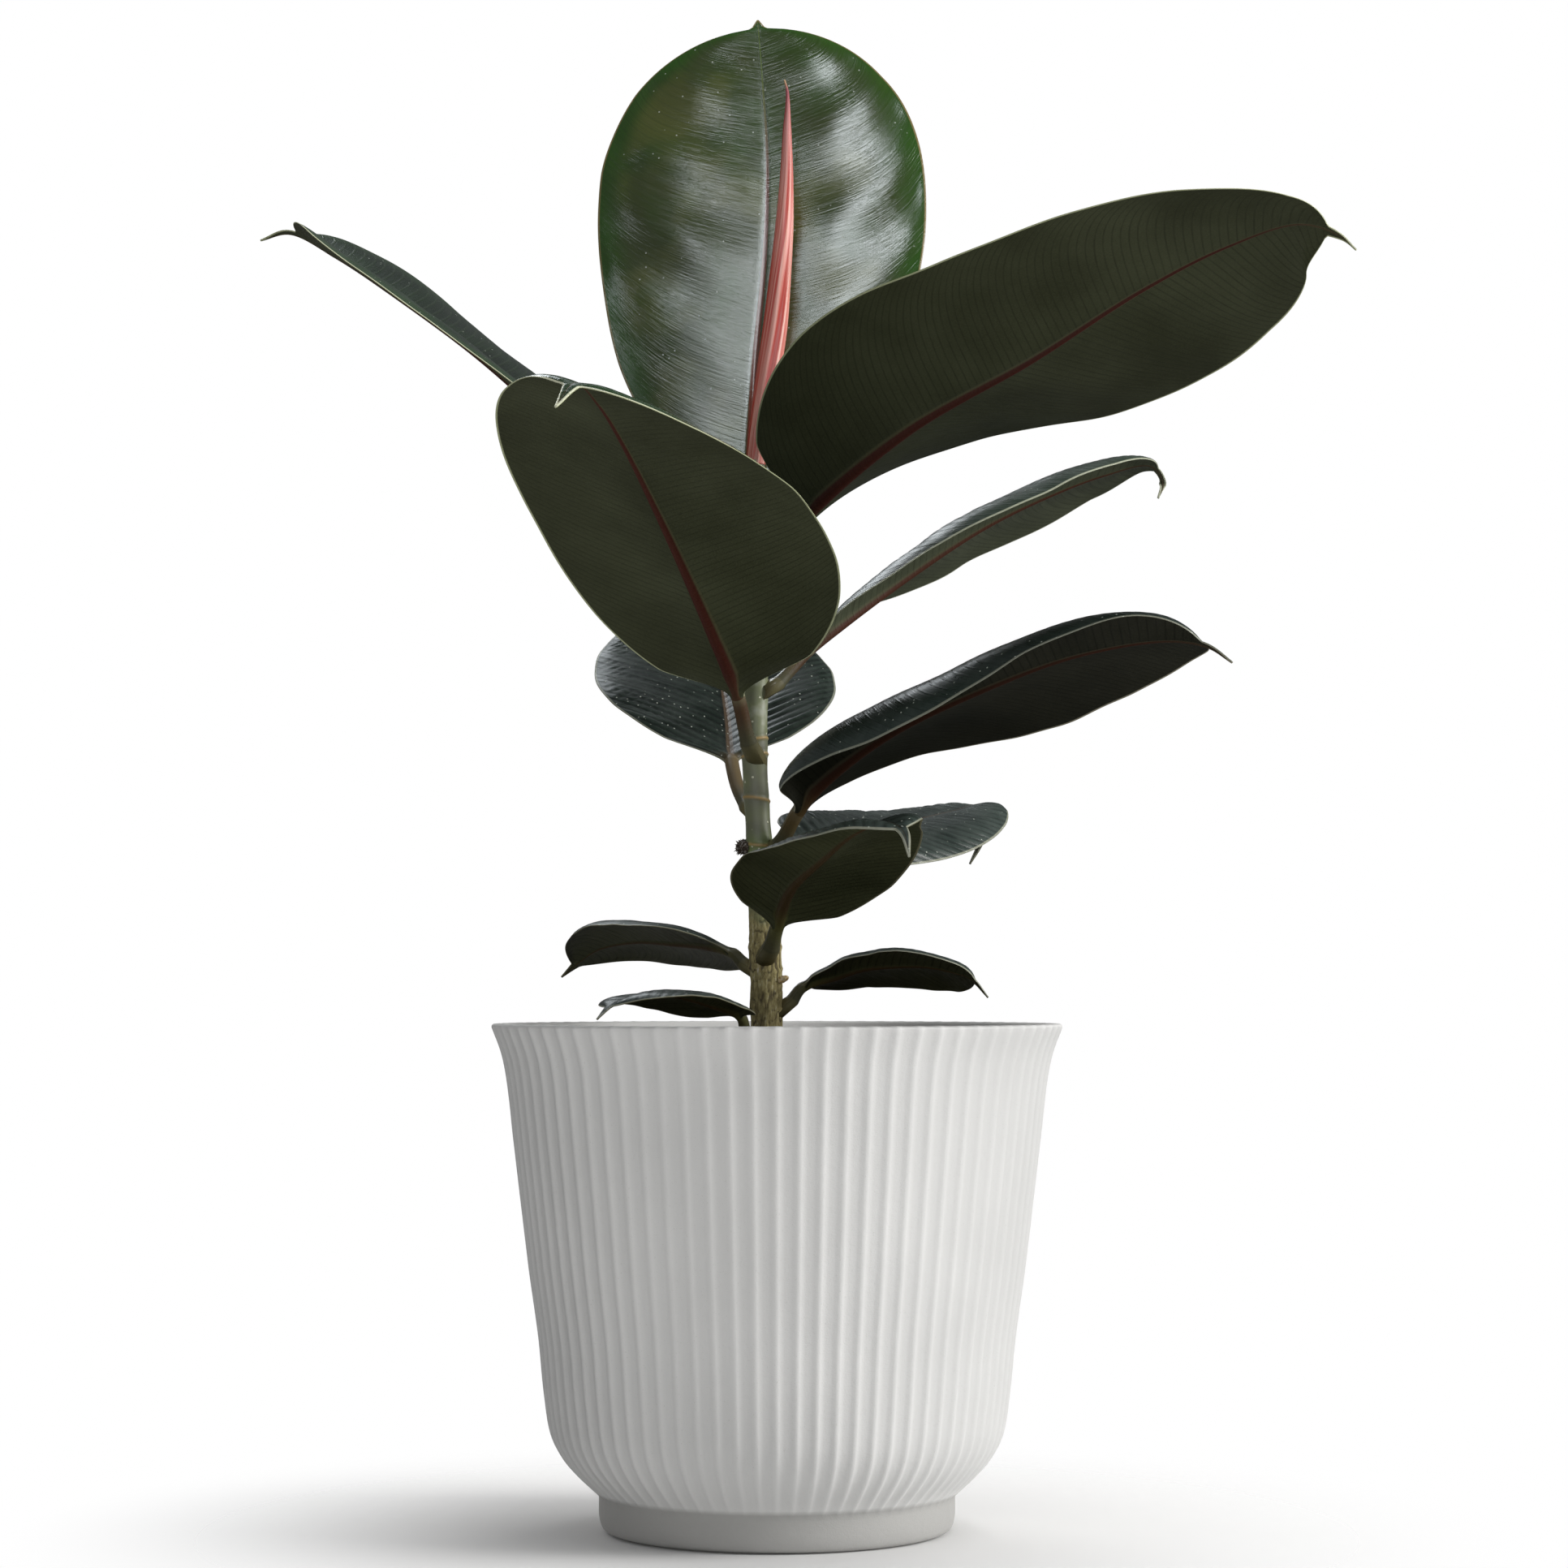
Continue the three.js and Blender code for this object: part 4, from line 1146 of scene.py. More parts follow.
LEAVES = [
    Leaf(
        "top_leaf", [(-9.6, 9.4, 383), (-11, 15, 392)],
        [(-11, 20, 405), (-9, 26, 452), (-5, 34, 499), (-4, 44, 539), (-6, 54, 574), (-8, 62, 601)],
        width=132, widest=0.6, base=(1.9, 2), tip=(2.3, 2), drip=4, looks=[(0, -1, 0.1), (0, -1, 0.3)],
        left=Half((0,), (20,), 1.04), right=Half((4,), (20,), 0.97), age=LeafAge.YOUNG, ridge=0.0, wave=0.4,
        swell=0.55, seed=1,
    ),
    Leaf(
        "upper_right_leaf", [(-4.4, -0.5, 358), (1, -8, 369)],
        [(8, -19, 384), (48, -50, 416), (94, -80, 439), (132, -100, 461), (162, -112, 475),
         (188, -120, 482), (202, -124, 477), (207, -128, 471)],
        width=124, widest=0.48, base=(2.6, 1.95), tip=(2.4, 1.8),
        looks=[(0.1, 0.62, 0.75), (-0.2, 0.5, 0.87), (0, 0.4, 0.9)],
        left=Half((59, 6, -14), (0, 12)), right=Half((22, 13, -8), (0, 25)), wave=0.45, seed=2,
    ),
    Leaf(
        "front_leaf", [(-9.5, -5.2, 297), (-12, -11, 306)],
        [(-15, -18, 319), (-27, -48, 347), (-41, -88, 376), (-54, -130, 400), (-62, -158, 411),
         (-69, -180, 415), (-75, -192, 405)],
        width=108, widest=0.54, base=(2.7, 2), looks=[(0.1, 0.6, 0.6), (0.1, 0.3, 0.9)],
        left=Half((14, -12), (20, 35), 1.14), right=Half((22, 24), (25, 35), 1.04), wave=0.4, seed=3,
    ),
    Leaf(
        "middle_right_leaf", [(-3, 1.8, 322), (5, 8, 331)],
        [(13, 14, 340), (25, 20, 350), (50, 30, 369), (81, 38, 390), (106, 44, 403), (131, 48, 413),
         (150, 50, 417), (155, 51, 411), (153, 51, 404)],
        width=94, widest=0.54, tip=(2.2, 1.6), drip=13, power=1.5,
        looks=[(-0.2, 0.2, 1), (0, 0.22, 1), (0.1, 0.2, 1)],
        left=Half((34, 10, 13), (20, 25, 10)), right=Half((32, 21, 14), (48, 75, 45), 0.8),
        age=LeafAge.FRESH_LIT, ridge=0.35, seed=4, stalk_radius=2.2,
    ),
    Leaf(
        "lower_right_leaf", [(-1, -2, 259), (3, -8, 266)],
        [(8, -14, 275), (18, -22, 286), (42, -40, 303), (76, -65, 318), (109, -85, 329), (141, -103, 333),
         (155, -112, 330), (163, -118, 324)],
        width=104, widest=0.48, tip=(2.4, 1.7), power=1.5,
        looks=[(-0.2, 0.3, 1), (0, 0.27, 1), (0.1, 0.3, 1)],
        left=Half((33, 17, 28), (20, 45, 30)), right=Half((36, 12, 42), (100, 98, 50)),
        age=LeafAge.RIPE, ridge=0.06, wave=0.9, seed=5,
    ),
    Leaf(
        "upper_left_leaf", [(-13.2, 3.5, 340), (-31, 20, 376)],
        [(-54, 30, 394), (-86, 45, 430), (-119, 58, 461), (-154, 70, 488), (-181, 80, 507), (-201, 86, 518),
         (-213.5, 90, 516)],
        width=100, looks=[(0.3, -0.14, 1), (0.1, -0.1, 1)], left=Half((32, 16, 24), (20,)),
        right=Half((16, 6, 22), (20,)), tip=(3.0, 2.2), drip=18, drip_width=4.2, ridge=0.05, wave=0.2, seed=6,
    ),
    Leaf(
        "back_leaf", [(-9.5, 5.4, 275), (-15, 18, 285)],
        [(-18, 32, 297), (-20, 58, 315), (-23, 86, 334), (-26, 112, 355), (-29, 132, 378), (-30, 142, 383)],
        width=100, widest=0.46, base=(2, 2), looks=[(0, -0.5, 0.9), (0, -0.4, 0.9)],
        left=Half((24, 10), (25, 40), 1.06), right=Half((24, 5), (30, 60), 0.94),
        age=LeafAge.DUSTY, ridge=0.7, vein_pitch=5.0, seed=7,
    ),
    Leaf(
        "back_right_leaf", [(-3, 5, 250), (3, 12, 257)],
        [(8, 18, 261), (32, 40, 269), (54, 68, 275), (72, 92, 280), (83, 107, 283), (88, 114, 278),
         (85, 116, 269), (80, 115, 259)],
        width=80, drip=21, looks=[(0.1, -0.35, 1), (0.2, -0.1, 1)],
        left=Half((22, -2, -12), (35,)), right=Half((4, 8, 34), (40, 50, 50), 0.8),
        age=LeafAge.OLD, ridge=0.6, vein_pitch=5.0, seed=8,
    ),
    Leaf(
        "lower_front_leaf", [(-3.6, -6.8, 219), (-2, -12, 224)],
        [(0, -18, 231), (5, -38, 244), (17, -66, 255), (29, -95, 264), (39, -112, 267), (45, -124, 263),
         (47, -130, 254)],
        width=76, widest=0.38, base=(2.3, 2), tip=(1.8, 1.6), looks=[(-0.3, 0.4, 0.9), (-0.1, 0.1, 1)],
        left=Half((-14, 14, 24), (5, 55, 50)), right=Half((50, 26, 8), (40, 55, 90), 0.7),
        age=LeafAge.OLD, ridge=0.2, wave=0.6, seed=9,
    ),
    Leaf(
        "lower_left_leaf", [(-10.2, 3.4, 214), (-14, 7, 218)],
        [(-17, 10, 221), (-29, 22, 224), (-40, 33, 225), (-56, 46, 226), (-72, 58, 223), (-81, 64, 217),
         (-87, 67, 212)],
        width=70, tip=(2.0, 1.3), drip=8, looks=[(0.1, 0.3, 1), (-0.1, 0.3, 1)],
        left=Half((18, 10), (45, 60)), right=Half((4, 5), (25,)),
        age=LeafAge.OLD, ridge=0.18, wave=0.4, seed=10, stalk_radius=2.1,
    ),
    Leaf(
        "rim_left_leaf", [(-8.6, -5.4, 185), (-12, -10, 191)],
        [(-14, -16, 197), (-24, -24, 201), (-39, -34, 205), (-51, -42, 205), (-61, -49, 202),
         (-67, -53, 196)],
        width=54, tip=(2.5, 1.8), drip=7, looks=[(0.1, 0.12, 1), (-0.1, 0.05, 1)],
        left=Half((5,), (35, 30)), right=Half((-2, 10), (20, 30)),
        age=LeafAge.OLD, ridge=0.16, wave=0.3, seed=11, stalk_radius=2.0,
    ),
    Leaf(
        "rim_right_leaf", [(3.4, 0, 199), (6, 1, 203)],
        [(10, 2, 208), (23, 2, 212), (33, 1, 215), (43, 0, 216), (57, -3, 216), (67, -6, 214),
         (75, -8, 211), (81, -10, 204)],
        width=58, widest=0.54, tip=(2.6, 1.9), drip=8, looks=[(-0.1, 0.25, 1), (0.1, 0.25, 1)],
        left=Half((9, -3), (20,)), right=Half((10,), (45, 35)),
        age=LeafAge.OLD, ridge=0.16, wave=0.3, seed=12, stalk_radius=2.0,
    ),
]


@dataclass(frozen=True)
class Stoneware:
    """White stoneware, slip cast and left unglazed.

    To the eye it is dry and matte with fine grit and a faint orange peel. Painted shade darkens the hollows
    of the flutes a little and the foot ring under the bowl's overhang clearly. Sizes are in mm.
    """

    tones: tuple[str, str] = ("#dcdcdb", "#e4e4e3")
    # Painted shade for the hollows of the flutes
    hollow_shade: str = "#cfcfce"
    grit: str = "#b4b4ae"
    # Painted shade: the foot ring's colour stands for the shadow under the bowl's overhang
    foot: str = "#9a9996"
    foot_ends: tuple[float, float] = (14.5, 16.5)
    grit_size: float = 0.5
    peel_size: float = 3.0303
    patch: float = 45.455
    rise: float = 0.22

    def made(self) -> bpy.types.Material:
        """Builds the finish.

        Returns:
            The material.
        """
        material, tree, shader = new_material("matte_white_stoneware")
        place = add(tree, "ShaderNodeTexCoord").outputs["Object"]
        height = add(tree, "ShaderNodeSeparateXYZ", {0: place}).outputs["Z"]
        valley = add(tree, "ShaderNodeAttribute", attribute_name="valley").outputs["Fac"]
        grit = add(tree, "ShaderNodeTexNoise", {"Vector": place, "Scale": scale_for(self.grit_size),
                                                "Detail": 2.0})
        peel = add(tree, "ShaderNodeTexNoise", {"Vector": place, "Scale": scale_for(self.peel_size),
                                                "Detail": 3.0, "Roughness": 0.6})
        stain = add(tree, "ShaderNodeTexNoise", {"Vector": place, "Scale": scale_for(self.patch),
                                                 "Detail": 4.0})
        tone = add(tree, "ShaderNodeMapRange", {0: stain, 1: 0.3, 2: 0.7})
        # Painted shade: the hollows of the flutes are painted a little darker
        hollow_shade = add(tree, "ShaderNodeMapRange", {0: valley, 1: 0.2, 2: 1.0, 3: 0.0, 4: 0.4})
        dots = add(tree, "ShaderNodeMapRange", {0: grit, 1: 0.66, 2: 0.74, 3: 0.0, 4: 0.4})
        # Painted shade: the foot ring below these heights is painted darker, for the bowl's overhang
        low = add(tree, "ShaderNodeMapRange", {0: height, 1: self.foot_ends[0] * MM,
                                               2: self.foot_ends[1] * MM, 3: 0.75, 4: 0.0})
        colour = linear(self.tones[0])
        for cover, code in (
            (tone, self.tones[1]), (hollow_shade, self.hollow_shade), (dots, self.grit), (low, self.foot),
        ):
            colour = add(tree, "ShaderNodeMix", {0: cover, 6: colour, 7: linear(code)},
                         data_type="RGBA").outputs[2]
        rough = add(tree, "ShaderNodeMapRange", {0: peel, 1: 0.3, 2: 0.7, 3: 0.62, 4: 0.78})
        both = add(tree, "ShaderNodeMath", {0: grit, 1: 0.35, 2: peel}, operation="MULTIPLY_ADD")
        relief = add(tree, "ShaderNodeBump", {"Strength": 0.7, "Distance": self.rise * MM, "Height": both})
        wire(tree, shader, {"Base Color": colour, "Roughness": rough, "Normal": relief})
        return material


@dataclass
class Pot:
    """The white pot, cast in one piece with soft upright flutes and a plain foot ring.

    Its outline is given in turn as radius and height: foot ring, bowl, rim, and back down the inside. The
    flutes deepen over the bowl's first six rows and run out over the rim's first four.
    """

    foot: tuple[tuple[float, float], ...] = ((63, 0), (66.5, 1.5), (68, 5), (68.3, 14))
    bowl: tuple[tuple[float, float], ...] = (
        (68.3, 14), (76.9, 22), (82.8, 29), (86.8, 37), (89.4, 52), (91.8, 75), (95.4, 100), (100.6, 142),
        (105.6, 180), (110, 192.6),
    )
    rim: tuple[tuple[float, float], ...] = (
        (109.9, 193.4), (109.3, 193.9), (108.4, 194), (106.4, 194), (105.4, 193.7), (104.8, 193),
        (103.6, 190.5), (100.9, 185),
    )
    inside: tuple[tuple[float, float], ...] = (
        (98.6, 180), (96.4, 165), (93.6, 142), (88.4, 100), (84.8, 75), (82.4, 52), (79.8, 37), (75.8, 29),
        (58, 20),
    )
    flutes: int = 76
    flute_depth: float = 0.85
    crest_sharpness: float = 2.6
    per_flute: int = 8
    run_out: tuple[float, ...] = (0.85, 0.6, 0.3, 0.1)
    slack: float = 0.05

    def curve(self, points: tuple[tuple[float, float], ...], steps: int) -> Numbers:
        """Draws a smooth outline through points, each stretch in so many steps."""
        return smooth_line([(r, 0, z) for r, z in points], steps)[:, ::2]

    def mesh(self) -> Piece:
        """Builds the pot with its flutes cut along the wall's own slope.

        Returns:
            The pot's mesh.
        """
        foot, bowl = self.curve(self.foot, 5), self.curve(self.bowl, 9)[1:]
        profile = np.vstack([foot, bowl, self.rim, self.inside])
        slope = np.gradient(profile, axis=0)
        slope /= np.linalg.norm(slope, axis=1)[:, None]
        outward = np.stack([slope[:, 1], -slope[:, 0]], -1)
        first, end = len(foot), len(foot) + len(bowl)
        depth = np.zeros(len(profile))
        depth[first:end] = 1.0
        depth[first : first + 6] = np.linspace(0.45, 1, 6)
        depth[end : end + len(self.run_out)] = self.run_out
        angle = np.linspace(0, 2 * np.pi, self.flutes * self.per_flute, endpoint=False)
        # Narrow crests between wide shallow valleys
        crest = (0.5 + 0.5 * np.cos(self.flutes * angle)) ** self.crest_sharpness
        cut = depth[:, None] * self.flute_depth * (1 - crest)[None]
        reached = profile[:, None] - outward[:, None] * cut[..., None]
        place = np.stack([
            reached[..., 0] * np.cos(angle), reached[..., 0] * np.sin(angle), reached[..., 1],
        ], -1)
        # The cast wall is a touch uneven over 9 mm, and drawn in so that it stays inside the CAD box
        uneven = 0.05 * Grain(21).at(place, 9.0) * (profile[:, 1] > 16)[:, None]
        place[..., :2] *= (1 - (self.slack + uneven) / 100)[..., None]
        piece = Piece("pot_body")
        piece.rows(place, valley=cut / self.flute_depth)
        return piece

    def build(self) -> bpy.types.Object:
        """Makes the pot and its finish."""
        return self.mesh().finished([Stoneware().made()], "pot", "pot_ceramic")


@dataclass(frozen=True)
class PeatMix:
    """Damp peat and bark, milled and loosely filled.

    To the eye it is near black and dull, with paler dry fibres and brown chips. Sizes are in mm.
    """

    peat: tuple[str, str] = ("#17110c", "#4a3a2b")
    bark: tuple[str, str] = ("#3a281a", "#8a6a4a")
    crumb: float = 1.5385
    patch: float = 16.667
    rise: float = 0.8
    roughness: float = 0.95

    def made(self) -> bpy.types.Material:
        """Builds the finish.

        Returns:
            The material.
        """
        material, tree, shader = new_material("damp_peat_mix")
        place = add(tree, "ShaderNodeTexCoord").outputs["Object"]
        chip = add(tree, "ShaderNodeAttribute", attribute_name="chip").outputs["Fac"]
        crumb = add(tree, "ShaderNodeTexNoise", {"Vector": place, "Scale": scale_for(self.crumb),
                                                 "Detail": 5.0, "Roughness": 0.75})
        patch = add(tree, "ShaderNodeTexNoise", {"Vector": place, "Scale": scale_for(self.patch),
                                                 "Detail": 3.0})
        mixed = add(tree, "ShaderNodeMath", {0: patch, 1: 0.5, 2: crumb}, operation="MULTIPLY_ADD")
        spread = add(tree, "ShaderNodeMapRange", {0: mixed, 1: 0.55, 2: 0.98})
        peat, bark = (
            add(tree, "ShaderNodeMix", {0: share, 6: linear(dark), 7: linear(pale)}, data_type="RGBA")
            for share, (dark, pale) in ((spread, self.peat), (crumb, self.bark))
        )
        whole = add(tree, "ShaderNodeMix", {0: chip, 6: peat.outputs[2], 7: bark.outputs[2]},
                    data_type="RGBA")
        relief = add(tree, "ShaderNodeBump", {"Strength": 1.0, "Distance": self.rise * MM, "Height": crumb})
        wire(tree, shader, {"Base Color": whole.outputs[2], "Roughness": self.roughness,
                            "Normal": relief})
        return material


@dataclass
class Soil:
    """The potting mix: a low crumbly mound with bark chips, down to the pot's floor."""

    top: float = 165.0
    mound: float = 4.0
    edge: float = 96.0
    below: tuple[tuple[float, float], ...] = (
        (93.1, 142), (87.9, 100), (84.3, 75), (81.9, 52), (79.3, 37), (75.3, 29), (58, 20.5),
    )
    around: int = 220
    crumbs: int = 900
    chips: int = 160
    crumb_size: tuple[float, float] = (0.6, 1.5)
    chip_size: tuple[float, float] = (1.5, 3.4)

    def level(self, x: Numbers, y: Numbers) -> Numbers:
        """Gives the uneven surface's height.

        Args:
            x: places in mm.
            y: places in mm.

        Returns:
            The height at each place in mm.
        """
        place = np.stack([x, y, 0 * x], -1)
        heap = self.mound * (1 - np.hypot(x, y) / self.edge)
        return self.top + heap + 0.9 * Grain(31).at(place, 11.0) + 0.5 * Grain(32).at(place, 3.5)

    def mesh(self) -> Piece:
        """Builds the mound, its crumbs and its chips.

        Returns:
            The soil's mesh.
        """
        piece = Piece("potting_mix_surface")
        angle = np.linspace(0, 2 * np.pi, self.around, endpoint=False)
        r, a = np.meshgrid(np.linspace(self.edge, 1, 80), angle, indexing="ij")
        x, y = r * np.cos(a), r * np.sin(a)
        fine = Grain(33).at(np.stack([x, y, 0 * x], -1), 1.4)
        top = np.stack([x, y, self.level(x, y) + 0.35 * fine], -1)
        walls = np.array([[[q * math.cos(t), q * math.sin(t), z] for t in angle]
                          for q, z in self.below[::-1]])
        grid = np.concatenate([walls, top])
        piece.rows(grid, chip=np.zeros(grid.shape[:2]))
        rng = np.random.default_rng(34)
        for number in range(self.crumbs + self.chips):
            self.crumb(piece, rng, number >= self.crumbs)
        return piece

    def crumb(self, piece: Piece, rng: np.random.Generator, bark: bool) -> None:
        """Lays one crumb of mix or one chip of bark on the surface.

        Args:
            piece: the mesh it joins.
            rng: the seeded numbers.
            bark: whether it is a long flat chip.
        """
        r, a = self.edge * 0.97 * math.sqrt(rng.uniform()), rng.uniform(0, 2 * math.pi)
        x, y = r * math.cos(a), r * math.sin(a)
        size = rng.uniform(*(self.chip_size if bark else self.crumb_size))
        shape = np.array([size, size * rng.uniform(0.5, 1), size * rng.uniform(0.5, 0.9)])
        if bark:
            shape[2] *= 0.3
        turn, lean = rng.uniform(0, 2 * math.pi), rng.uniform(-0.4, 0.4)
        levels = np.array([-0.8, 0, 0.8])
        sides = 6
        spin = np.linspace(0, 2 * np.pi, sides, endpoint=False)
        ring = np.sqrt(1 - levels**2 * 0.9)
        local = np.stack([
            ring[:, None] * np.cos(spin), ring[:, None] * np.sin(spin), np.repeat(levels[:, None], sides, 1),
        ], -1) * shape * rng.uniform(0.75, 1.15, (3, sides, 1))
        c, s = math.cos(turn), math.sin(turn)
        spun = local @ np.array([[c, s, 0], [-s, c, 0], [0, 0, 1]])
        spun[..., 2] += spun[..., 0] * lean
        height = float(self.level(np.array(x), np.array(y)))
        brown = rng.uniform(0.35, 1) if bark else rng.uniform(0, 0.3)
        piece.rows(spun + np.array([x, y, height + shape[2] * 0.35]), chip=np.full((3, sides), brown))

    def build(self) -> bpy.types.Object:
        """Makes the soil and its finish."""
        return self.mesh().finished([PeatMix().made()], "potting_soil", "potting_mix")


@dataclass(frozen=True)
class StipuleSkin:
    """Young stipule skin, as grown: thin, moist and faintly translucent.

    To the eye it is satin coral with paler lengthwise bands, duller towards its tan tip and pale along its
    free edge. The radius is how deep red, green and blue light goes, in mm.
    """

    bands: tuple[str, str] = ("#c8463a", "#f3b0a2")
    upper: str = "#a8525a"
    tip: str = "#dcb98a"
    lip: str = "#f6cfc0"
    band_count: float = 14.0
    roughness: float = 0.38
    depth: float = 0.15
    radius: Point = (4.0, 1.5, 1.0)
    rise: float = 0.2

    def made(self) -> bpy.types.Material:
        """Builds the finish.

        Returns:
            The material.
        """
        material, tree, shader = new_material("coral_stipule_skin")
        past, up = (
            add(tree, "ShaderNodeAttribute", attribute_name=mark).outputs["Fac"] for mark in ("past", "up")
        )
        # The bands run the roll's length, each about 2 mm wide where it is thickest
        stretch = add(tree, "ShaderNodeCombineXYZ", {0: past, 1: up})
        laid = add(tree, "ShaderNodeMapping", {"Vector": stretch, "Scale": (self.band_count, 2.0, 1.0)})
        band = add(tree, "ShaderNodeTexNoise", {"Vector": laid, "Scale": 1.0, "Detail": 3.0,
                                                "Roughness": 0.6})
        tone = add(tree, "ShaderNodeMapRange", {0: band, 1: 0.42, 2: 0.6})
        high = add(tree, "ShaderNodeMapRange", {0: up, 1: 0.55, 2: 0.85})
        end = add(tree, "ShaderNodeMapRange", {0: up, 1: 0.9, 2: 1.0})
        lip = add(tree, "ShaderNodeMapRange", {0: past, 1: 0.0, 2: 0.045, 3: 0.8, 4: 0.0})
        colour = linear(self.bands[0])
        for cover, code in ((tone, self.bands[1]), (high, self.upper), (end, self.tip), (lip, self.lip)):
            colour = add(tree, "ShaderNodeMix", {0: cover, 6: colour, 7: linear(code)},
                         data_type="RGBA").outputs[2]
        relief = add(tree, "ShaderNodeBump", {"Strength": 0.4, "Distance": self.rise * MM, "Height": band})
        wire(tree, shader, {
            "Base Color": colour, "Roughness": self.roughness, "Normal": relief,
            "Subsurface Weight": self.depth, "Subsurface Radius": [v * MM for v in self.radius],
            "Subsurface Scale": 0.3,
        })
        return material


@dataclass
class Sheath:
    """The coral sheath rolled round the next leaf, with its free edge winding up along it.

    The line gives x, y, z and the radius from the stem's end up. The seam is the free edge's place at the
    foot, in degrees, and wound is how far it turns on the way up.
    """

    line: tuple[tuple[float, float, float, float], ...] = (
        (-8.5, 6, 411.5, 3.9), (-7, 7, 424, 4.7), (-5, 8, 438, 5.1), (-1, 11, 466, 5.2), (1, 13, 487, 4.5),
        (2.7, 15, 507, 3.8), (3.6, 17, 526, 2.8), (3.9, 19, 546, 1.8), (4.2, 20, 558, 0.9),
        (3.9, 20.6, 563, 0.6), (2.9, 21, 567, 0.3),
    )
    seam: float = -78.0
    wound: float = 150.0
    overlap: float = 0.13
    folds: int = 9
    around: int = 80

    def mesh(self) -> Piece:
        """Builds the roll with the step of its overlapping edge.

        Returns:
            The sheath's mesh.
        """
        line = smooth_line([point[:3] for point in self.line], 24)
        radius = np.interp(line[:, 2], [p[2] for p in self.line], [p[3] for p in self.line])
        radius = np.convolve(np.pad(radius, 7, mode="edge"), np.ones(15) / 15, "valid")
        radius[-6:] = np.linspace(radius[-7], 0.25, 6)
        up = np.linspace(0, 1, len(line))
        seam = math.radians(self.seam) + math.radians(self.wound) * up**1.4
        turn = np.linspace(0, 2 * np.pi, self.around, endpoint=False)
        past = turn[None] / (2 * np.pi)
        # The radius shrinks once round and steps out again under the free edge
        roll = 1.0 - self.overlap * past + 0.1 * eased(0.93, 1, past)
        folds = 0.012 * np.cos(self.folds * turn[None] + 2 * up[:, None]) * (1 - up[:, None])
        reach = radius[:, None] * (roll + folds)
        angle = seam[:, None] + turn[None]
        grid = np.stack([
            line[:, 0][:, None] + np.cos(angle) * reach, line[:, 1][:, None] + np.sin(angle) * reach,
            np.repeat(line[:, 2][:, None], self.around, 1),
        ], -1)
        piece = Piece("new_leaf_roll")
        piece.rows(grid, past=past, up=up[:, None])
        return piece

    def build(self) -> bpy.types.Object:
        """Makes the sheath and its finish."""
        return self.mesh().finished([StipuleSkin().made()], "new_leaf_sheath", "sheath_skin")


@dataclass(frozen=True)
class DryTissue:
    """Dry plant tissue, grown and then weathered.

    To the eye it is dull, with darker hollows and paler high spots. Sizes are in mm.
    """

    colours: Stops
    mottle: float = 1.1111
    roughness: float = 0.8
    rise: float = 0.3

    def made(self, name: str) -> bpy.types.Material:
        """Builds the finish.

        Args:
            name: what it is named for.

        Returns:
            The material.
        """
        material, tree, shader = new_material(name + "_skin")
        place = add(tree, "ShaderNodeTexCoord").outputs["Object"]
        mottle = add(tree, "ShaderNodeTexNoise", {"Vector": place, "Scale": scale_for(self.mottle),
                                                  "Detail": 3.0})
        ramp = add(tree, "ShaderNodeValToRGB", {0: mottle})
        set_stops(ramp.color_ramp, self.colours)
        relief = add(tree, "ShaderNodeBump", {"Strength": 0.8, "Distance": self.rise * MM, "Height": mottle})
        wire(tree, shader, {"Base Color": ramp, "Roughness": self.roughness,
                            "Normal": relief})
        return material


